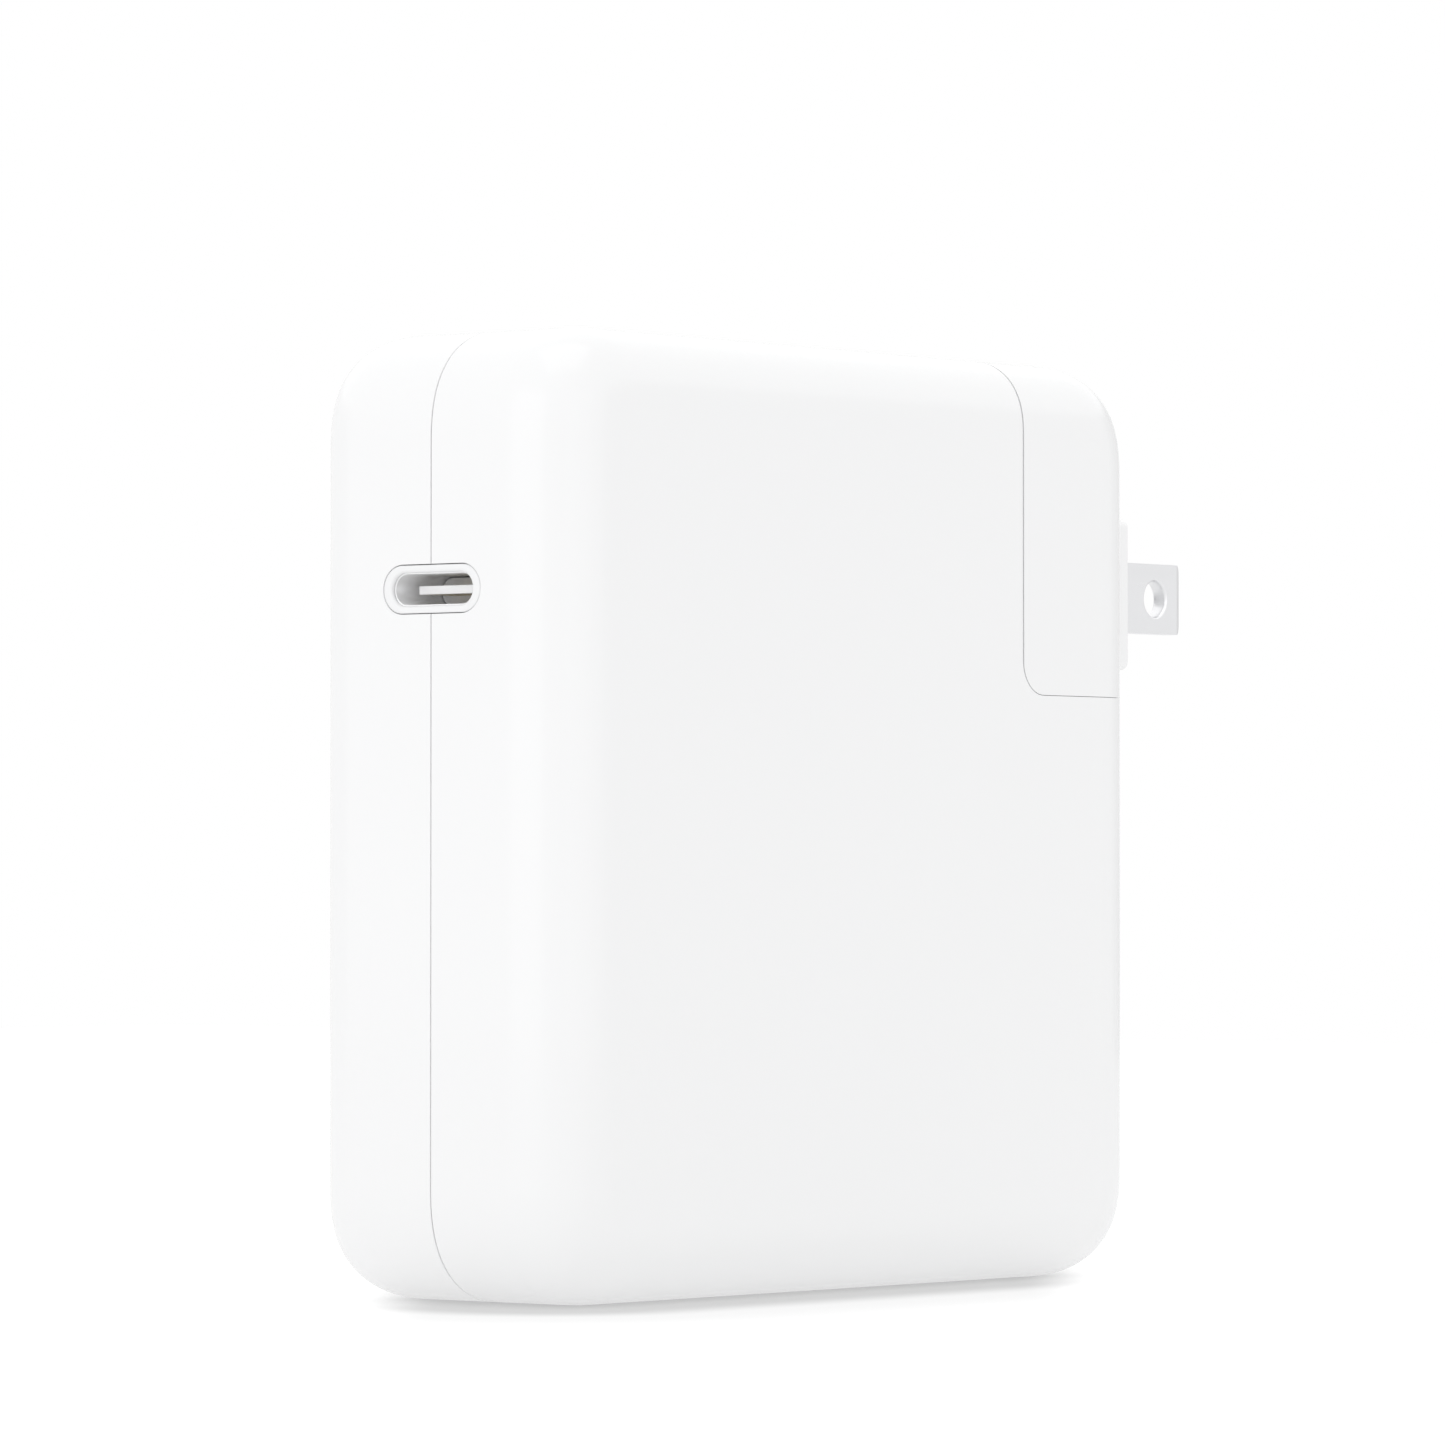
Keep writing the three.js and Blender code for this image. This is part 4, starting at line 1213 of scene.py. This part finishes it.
    def shell(self, housing: Housing, inlet: Inlet) -> None:
        """Builds the module's shell, with its pad, nose, slots and hollow.

        Args:
            housing: The housing, whose form the module follows.
            inlet: The inlet that it fits.
        """
        form = housing.pillow().within(housing.corner(self.x, self.z, self.corner_round))
        form.soften(self.rim, steps=3, where=self.on_rim)
        pad_x = (self.pad_root, self.pad_x)
        pad_y = (-self.pad_y, self.pad_y)
        pad = rounded_block(pad_x, pad_y, self.pad_z, Axis.X, self.pad_corner, steps=10)
        pad.soften(self.pad_edge, steps=5, where=lambda place: place.x > self.pad_x - ON_FACE)
        form.plus(pad)
        form.minus(self.hollow(housing))
        nose, *others = inlet.figure(0.0, (self.nose_tip, self.z + self.nose_join))
        nose.plus(*others)
        nose.soften(self.nose_edge, steps=4, where=lambda place: place.z < self.nose_tip + ON_FACE)
        form.plus(nose)
        cover_x = (self.x - PAST, self.x + self.cover_depth)
        cover_y = (-self.cover_half, self.cover_half)
        pocket = rounded_block(cover_x, cover_y, self.cover_z, Axis.X, self.cover_corner)
        form.minus(pocket, *self.guide_slot(inlet), *self.blade_slots())
        form.minus(*self.pivot_ways(), *self.contact_ways(inlet))
        form.soften(self.mouth_edge, steps=2, where=self.on_mouth)
        form.piece("module_shell", GLOSS_WHITE, Body.MODULE, "shell_white", ["plug_housing"])

    def on_mouth(self, place: Vector) -> bool:
        """Says whether an edge's middle lies on the rim of a blade slot in the pad's face."""
        beside = abs(abs(abs(place.y) - self.slot_y) - self.slot_half) < ON_FACE
        return beside and place.x > self.pad_x - 2 * ON_FACE

    def build(self, housing: Housing, inlet: Inlet) -> None:
        """Builds the shell and dresses the module's other nodes.

        Args:
            housing: The housing, whose form the module follows.
            inlet: The inlet that it fits.
        """
        self.shell(housing, inlet)
        dress(SATIN_WHITE, "plug_cover", soft=self.cover_edge)
        dress(COPPER, "plug_contact_near", "plug_contact_far")
        dress(SPRING_STEEL, "detent_spring")


# ---------------------------------------------------------------------------- blades


@dataclass
class Prongs:
    """The two blades, their bridge and their axle."""

    spacing: float = 12.7
    thickness: float = 1.5
    height: Span = (56.95, 63.25)
    tip_x: float = 55.7
    tip_round: float = 0.95
    tip_taper: float = 1.0
    tip_edge: float = 0.5
    pivot: Span = (37.2, 58.0)
    hub: float = 3.0
    axle: float = 1.3
    hole_x: float = 51.4
    hole_z: float = 60.1
    crease: float = math.radians(16)
    hole: float = 1.6
    edge: float = 0.11
    hole_edge: float = 0.3
    margin: float = 0.7  # along the upper and lower side, where edges are softened
    beside: float = 0.1  # how near to the hub and the taper they are
    through: float = 5.0

    def blade(self, y: float, name: str, node: str) -> None:
        """Builds one blade.

        Args:
            y: Its middle along Y.
            name: Name of its piece.
            node: The CAD node that it is shown in place of.
        """
        span = (y - self.thickness / 2, y + self.thickness / 2)
        wide = (y - self.through, y + self.through)
        along = (self.pivot[0], self.tip_x)
        form = rounded_block(along, span, self.height, Axis.Y, self.tip_round, steps=10)
        slope = (self.thickness - self.tip_edge) / 2
        for side in (-1, 1):
            start = (self.tip_x - self.tip_taper, y + side * self.thickness / 2, 0.0)
            form.trim(start, (slope, side * self.tip_taper, 0.0))
        form.plus(rod(Axis.Y, self.pivot, self.hub, span, steps=48))
        form.minus(
            rod(Axis.Y, (self.hole_x, self.hole_z), self.hole, wide, steps=56),
            rod(Axis.Y, self.pivot, self.axle, wide, steps=40),
        )
        form.soften(self.hole_edge, steps=4, where=self.on_hole)
        form.soften(self.edge, steps=3, where=self.on_rim, least=self.crease)
        form.piece(name, NICKEL, Body.PRONGS, "plated_metal", [node], self.crease)

    def on_hole(self, place: Vector) -> bool:
        """Says whether an edge's middle lies on the rim of the hole near the tip."""
        reach = math.hypot(place.x - self.hole_x, place.z - self.hole_z)
        return abs(reach - self.hole) < ON_CURVE

    def on_rim(self, place: Vector) -> bool:
        """Finds the blade's outer edges beyond its hub.

        Args:
            place: The edge's middle, in millimetres.

        Returns:
            True for an edge that lies there.
        """
        outer = any(abs(place.z - side) < self.margin for side in self.height)
        at_tip = place.x > self.tip_x - self.tip_taper - self.beside
        return place.x > self.pivot[0] + self.hub + self.beside and (outer or at_tip)

    def build(self) -> None:
        """Builds both blades and dresses the bridge and the axle."""
        self.blade(-self.spacing / 2, "blade_near", "prong_near")
        self.blade(self.spacing / 2, "blade_far", "prong_far")
        dress(SATIN_WHITE, "prong_bridge")
        dress(SPRING_STEEL, "prong_axle")


# ---------------------------------------------------------------------------- circuit


@dataclass
class Circuit:
    """The parts on the boards, which no view of the closed adapter shows."""

    nodes: dict[Finish, tuple[str, ...]] = field(
        default_factory=lambda: {
            BOARD: ("main_board",),
            SLEEVE: (
                "bulk_capacitor_1", "bulk_capacitor_2",
                "output_capacitor_1", "output_capacitor_2", "output_capacitor_3",
            ),
            BLUE: ("y_capacitor",),
            YELLOW: ("film_capacitor",),
            BLACK: (
                "fuse", "bridge_rectifier", "transformer_bobbin", "output_switch", "primary_switch",
            ),
            FERRITE: (
                "input_choke_core", "output_choke",
                "transformer_core_front", "transformer_core_rear",
            ),
            COPPER: ("input_choke_winding_1", "input_choke_winding_2", "transformer_winding"),
            PAD: ("thermal_pad",),
        }
    )

    def build(self) -> None:
        """Dresses each part on the boards."""
        for finish, names in self.nodes.items():
            dress(finish, *names)


# ---------------------------------------------------------------------------- studio


@dataclass
class Lamp:
    """A soft square light."""

    name: str
    place: Triple
    power: float
    aim: Triple = (0.0, 0.0, 0.04)
    size: float = 0.9

    def build(self) -> None:
        """Hangs the lamp and turns it towards its aim."""
        data = bpy.data.lights.new(self.name, "AREA")
        data.shape = "SQUARE"
        data.size = self.size
        data.energy = self.power
        lamp = bpy.data.objects.new(self.name, data)
        lamp.location = self.place
        way = Vector(self.aim) - Vector(self.place)
        lamp.rotation_euler = way.to_track_quat("-Z", "Y").to_euler()
        bpy.context.scene.collection.objects.link(lamp)


@dataclass
class Studio:
    """The camera, the white floor, the surroundings and the lamps."""

    image: int = 1445
    focal: float = 7856.0  # in pixels of that image
    eye: Triple = (-524.7, -419.6, 34.2)
    yaw: float = 51.24
    pitch: float = 1.197
    sensor: float = 36.0
    clip: Span = (0.01, 100.0)
    floor_half: float = 0.9
    floor_white: float = 0.42
    floor_roughness: float = 0.9
    ambient: float = 0.94
    floor_glow: float = 0.54  # of the light that the floor throws on the adapter
    painted_shadow_share: float = 0.12  # of the painted shadow's shape in that light
    foot: Triple = (0.034, 0.0075, 1.0)  # half the adapter's foot, in metres
    painted_shadow_reach: float = 0.1
    painted_shadow: tuple[Span, ...] = (  # share of the reach, and the glow that is seen there, which paints a shadow round the foot
        (0.085, 0.28), (0.17, 0.53), (0.3, 0.6), (0.5, 0.8)
    )
    painted_shadow_across: Triple = (0.626, -0.78, 0.0)
    painted_shadow_side: Span = (0.024, 0.034)
    softbox: float = 1.25  # what the gloss mirrors in the bright part of the room
    shade: float = 0.96  # and in the part beyond the adapter's blades
    shade_way: Triple = (0.857, 0.515, 0.0)
    shade_edge: Span = (-0.06, 0.06)
    shade_top: Span = (0.25, 0.35)
    deep: float = 0.72  # the darkest part of the room, straight beyond the blades
    deep_across: Span = (0.26, 0.4)
    deep_along: Span = (0.3, 0.6)
    lamps: list[Lamp] = field(
        default_factory=lambda: [
            Lamp("left_softbox", (-1.0, 0.15, 0.25), 1.1),
            Lamp("front_softbox", (-0.25, -1.1, 0.22), 0.42),
            Lamp("overhead_softbox", (-0.1, -0.1, 1.1), 1.0),
        ]
    )

    def camera(self) -> None:
        """Places the camera where the photograph's was."""
        data = bpy.data.cameras.new("photograph")
        data.sensor_width = self.sensor
        data.sensor_fit = "HORIZONTAL"
        data.lens = self.focal * self.sensor / self.image
        data.clip_start, data.clip_end = self.clip
        camera = bpy.data.objects.new("photograph", data)
        yaw, pitch = math.radians(self.yaw), math.radians(self.pitch)
        ahead = Vector(
            (math.sin(yaw) * math.cos(pitch), math.cos(yaw) * math.cos(pitch), math.sin(pitch))
        )
        camera.location = Vector(self.eye) * MM
        camera.rotation_euler = ahead.to_track_quat("-Z", "Y").to_euler()
        bpy.context.scene.collection.objects.link(camera)
        bpy.context.scene.camera = camera

    def floor(self) -> None:
        """Lays the white floor, which keeps the lamps' shadow and a painted shadow round the
        adapter's foot.
        """
        shape = bmesh.new()
        bmesh.ops.create_grid(shape, x_segments=1, y_segments=1, size=self.floor_half)
        mesh = bpy.data.meshes.new("studio_floor")
        shape.to_mesh(mesh)
        shape.free()
        floor = bpy.data.objects.new("studio_floor", mesh)
        bpy.context.scene.collection.objects.link(floor)
        made = bpy.data.materials.new("studio_floor")
        made.use_nodes = True
        tree = made.node_tree
        shader = tree.nodes["Principled BSDF"]
        shader.inputs["Base Color"].default_value = (*[self.floor_white] * 3, 1.0)
        shader.inputs["Roughness"].default_value = self.floor_roughness
        shader.inputs["Specular IOR Level"].default_value = 0.0
        shader.inputs["Emission Color"].default_value = (1.0, 1.0, 1.0, 1.0)
        # Camera rays see the painted shadow in full, and the light that the floor throws on the
        # adapter holds a share of it.
        rays = tree.nodes.new("ShaderNodeLightPath")
        seen = _maths(tree, "SUBTRACT", self._painted_shadow(tree), self.floor_glow)
        share = _maths(tree, "MAXIMUM", rays.outputs["Is Camera Ray"], self.painted_shadow_share)
        seen = _maths(tree, "MULTIPLY", seen, share)
        glow = _maths(tree, "ADD", seen, self.floor_glow)
        tree.links.new(glow, shader.inputs["Emission Strength"])
        mesh.materials.append(made)

    def _painted_shadow(self, tree: bpy.types.NodeTree) -> bpy.types.NodeSocket:
        """Adds the painted shadow: a glow that is dim at the adapter's foot and grows away from it.

        Args:
            tree: The floor's node tree.

        Returns:
            The socket that carries the glow.
        """
        place = tree.nodes.new("ShaderNodeTexCoord").outputs["Object"]
        across = _vector(tree, "DOT_PRODUCT", place, self.painted_shadow_across)
        open_floor = _step(tree, _maths(tree, "ABSOLUTE", across), self.painted_shadow_side)
        way = _vector(tree, "SUBTRACT", _vector(tree, "ABSOLUTE", place), self.foot)
        way = _vector(tree, "LENGTH", _vector(tree, "MAXIMUM", way, (0.0, 0.0, 0.0)))
        curve = tree.nodes.new("ShaderNodeValToRGB")
        curve.color_ramp.interpolation = "EASE"
        stops = curve.color_ramp.elements
        for _ in self.painted_shadow[2:]:
            stops.new(1.0)
        for stop, (share, glow) in zip(stops, self.painted_shadow):
            stop.position = share
            stop.color = (glow, glow, glow, 1.0)
        tree.links.new(_maths(tree, "DIVIDE", way, self.painted_shadow_reach), curve.inputs["Fac"])
        most = self.painted_shadow[-1][1]
        dark = _maths(tree, "SUBTRACT", most, curve.outputs["Color"])
        dark = _maths(tree, "MULTIPLY", dark, _maths(tree, "SUBTRACT", 1.0, open_floor))
        return _maths(tree, "SUBTRACT", most, dark)

    def _mirrored(self, tree: bpy.types.NodeTree) -> bpy.types.NodeSocket:
        """Adds what the gloss mirrors in each direction.

        Args:
            tree: The world's node tree.

        Returns:
            The socket that carries it.
        """
        way = tree.nodes.new("ShaderNodeTexCoord").outputs["Generated"]
        apart = tree.nodes.new("ShaderNodeSeparateXYZ")
        tree.links.new(way, apart.inputs[0])
        beyond = _step(tree, _vector(tree, "DOT_PRODUCT", way, self.shade_way), self.shade_edge)
        above = _step(tree, apart.outputs["Z"], self.shade_top)
        low = _maths(tree, "SUBTRACT", 1.0, above)
        shaded = _maths(tree, "MULTIPLY", beyond, low)
        dimmed = _maths(tree, "MULTIPLY", shaded, self.shade - self.softbox)
        bright = _maths(tree, "ADD", dimmed, self.softbox)
        beside = _maths(tree, "ABSOLUTE", apart.outputs["Y"])
        across = _maths(tree, "SUBTRACT", 1.0, _step(tree, beside, self.deep_across))
        ahead = _step(tree, apart.outputs["X"], self.deep_along)
        deep = _maths(tree, "MULTIPLY", _maths(tree, "MULTIPLY", across, ahead), low)
        lost = _maths(tree, "MULTIPLY", deep, _maths(tree, "SUBTRACT", bright, self.deep))
        return _maths(tree, "SUBTRACT", bright, lost)

    def surroundings(self) -> None:
        """Gives the world a soft white light, a white backdrop and what the gloss mirrors."""
        world = bpy.data.worlds.new("studio")
        bpy.context.scene.world = world
        world.use_nodes = True
        tree = world.node_tree
        backdrop = tree.nodes["Background"]
        backdrop.inputs["Color"].default_value = (1.0, 1.0, 1.0, 1.0)
        rays = tree.nodes.new("ShaderNodeLightPath")
        plain = _maths(
            tree, "MAXIMUM", rays.outputs["Is Camera Ray"], rays.outputs["Is Transmission Ray"]
        )
        share = _maths(tree, "MULTIPLY", plain, 1.0 - self.ambient)
        level = _maths(tree, "ADD", share, self.ambient)
        gloss = _maths(tree, "SUBTRACT", self._mirrored(tree), self.ambient)
        gloss = _maths(tree, "MULTIPLY", gloss, rays.outputs["Is Glossy Ray"])
        tree.links.new(_maths(tree, "ADD", level, gloss), backdrop.inputs["Strength"])

    def build(self) -> None:
        """Sets up the whole studio."""
        self.camera()
        self.floor()
        self.surroundings()
        for lamp in self.lamps:
            lamp.build()
        bpy.context.scene.view_settings.view_transform = "Standard"


def main() -> None:
    """Builds the studio and the adapter, piece by piece."""
    logging.basicConfig(level=logging.INFO, format="%(name)s %(message)s")
    Studio().build()
    housing = Housing()
    port = Port()
    inlet = Inlet()
    housing.build(port, inlet)
    port.build()
    inlet.build()
    PlugModule().build(housing, inlet)
    Prongs().build()
    Circuit().build()


if __name__ == "__main__":
    main()
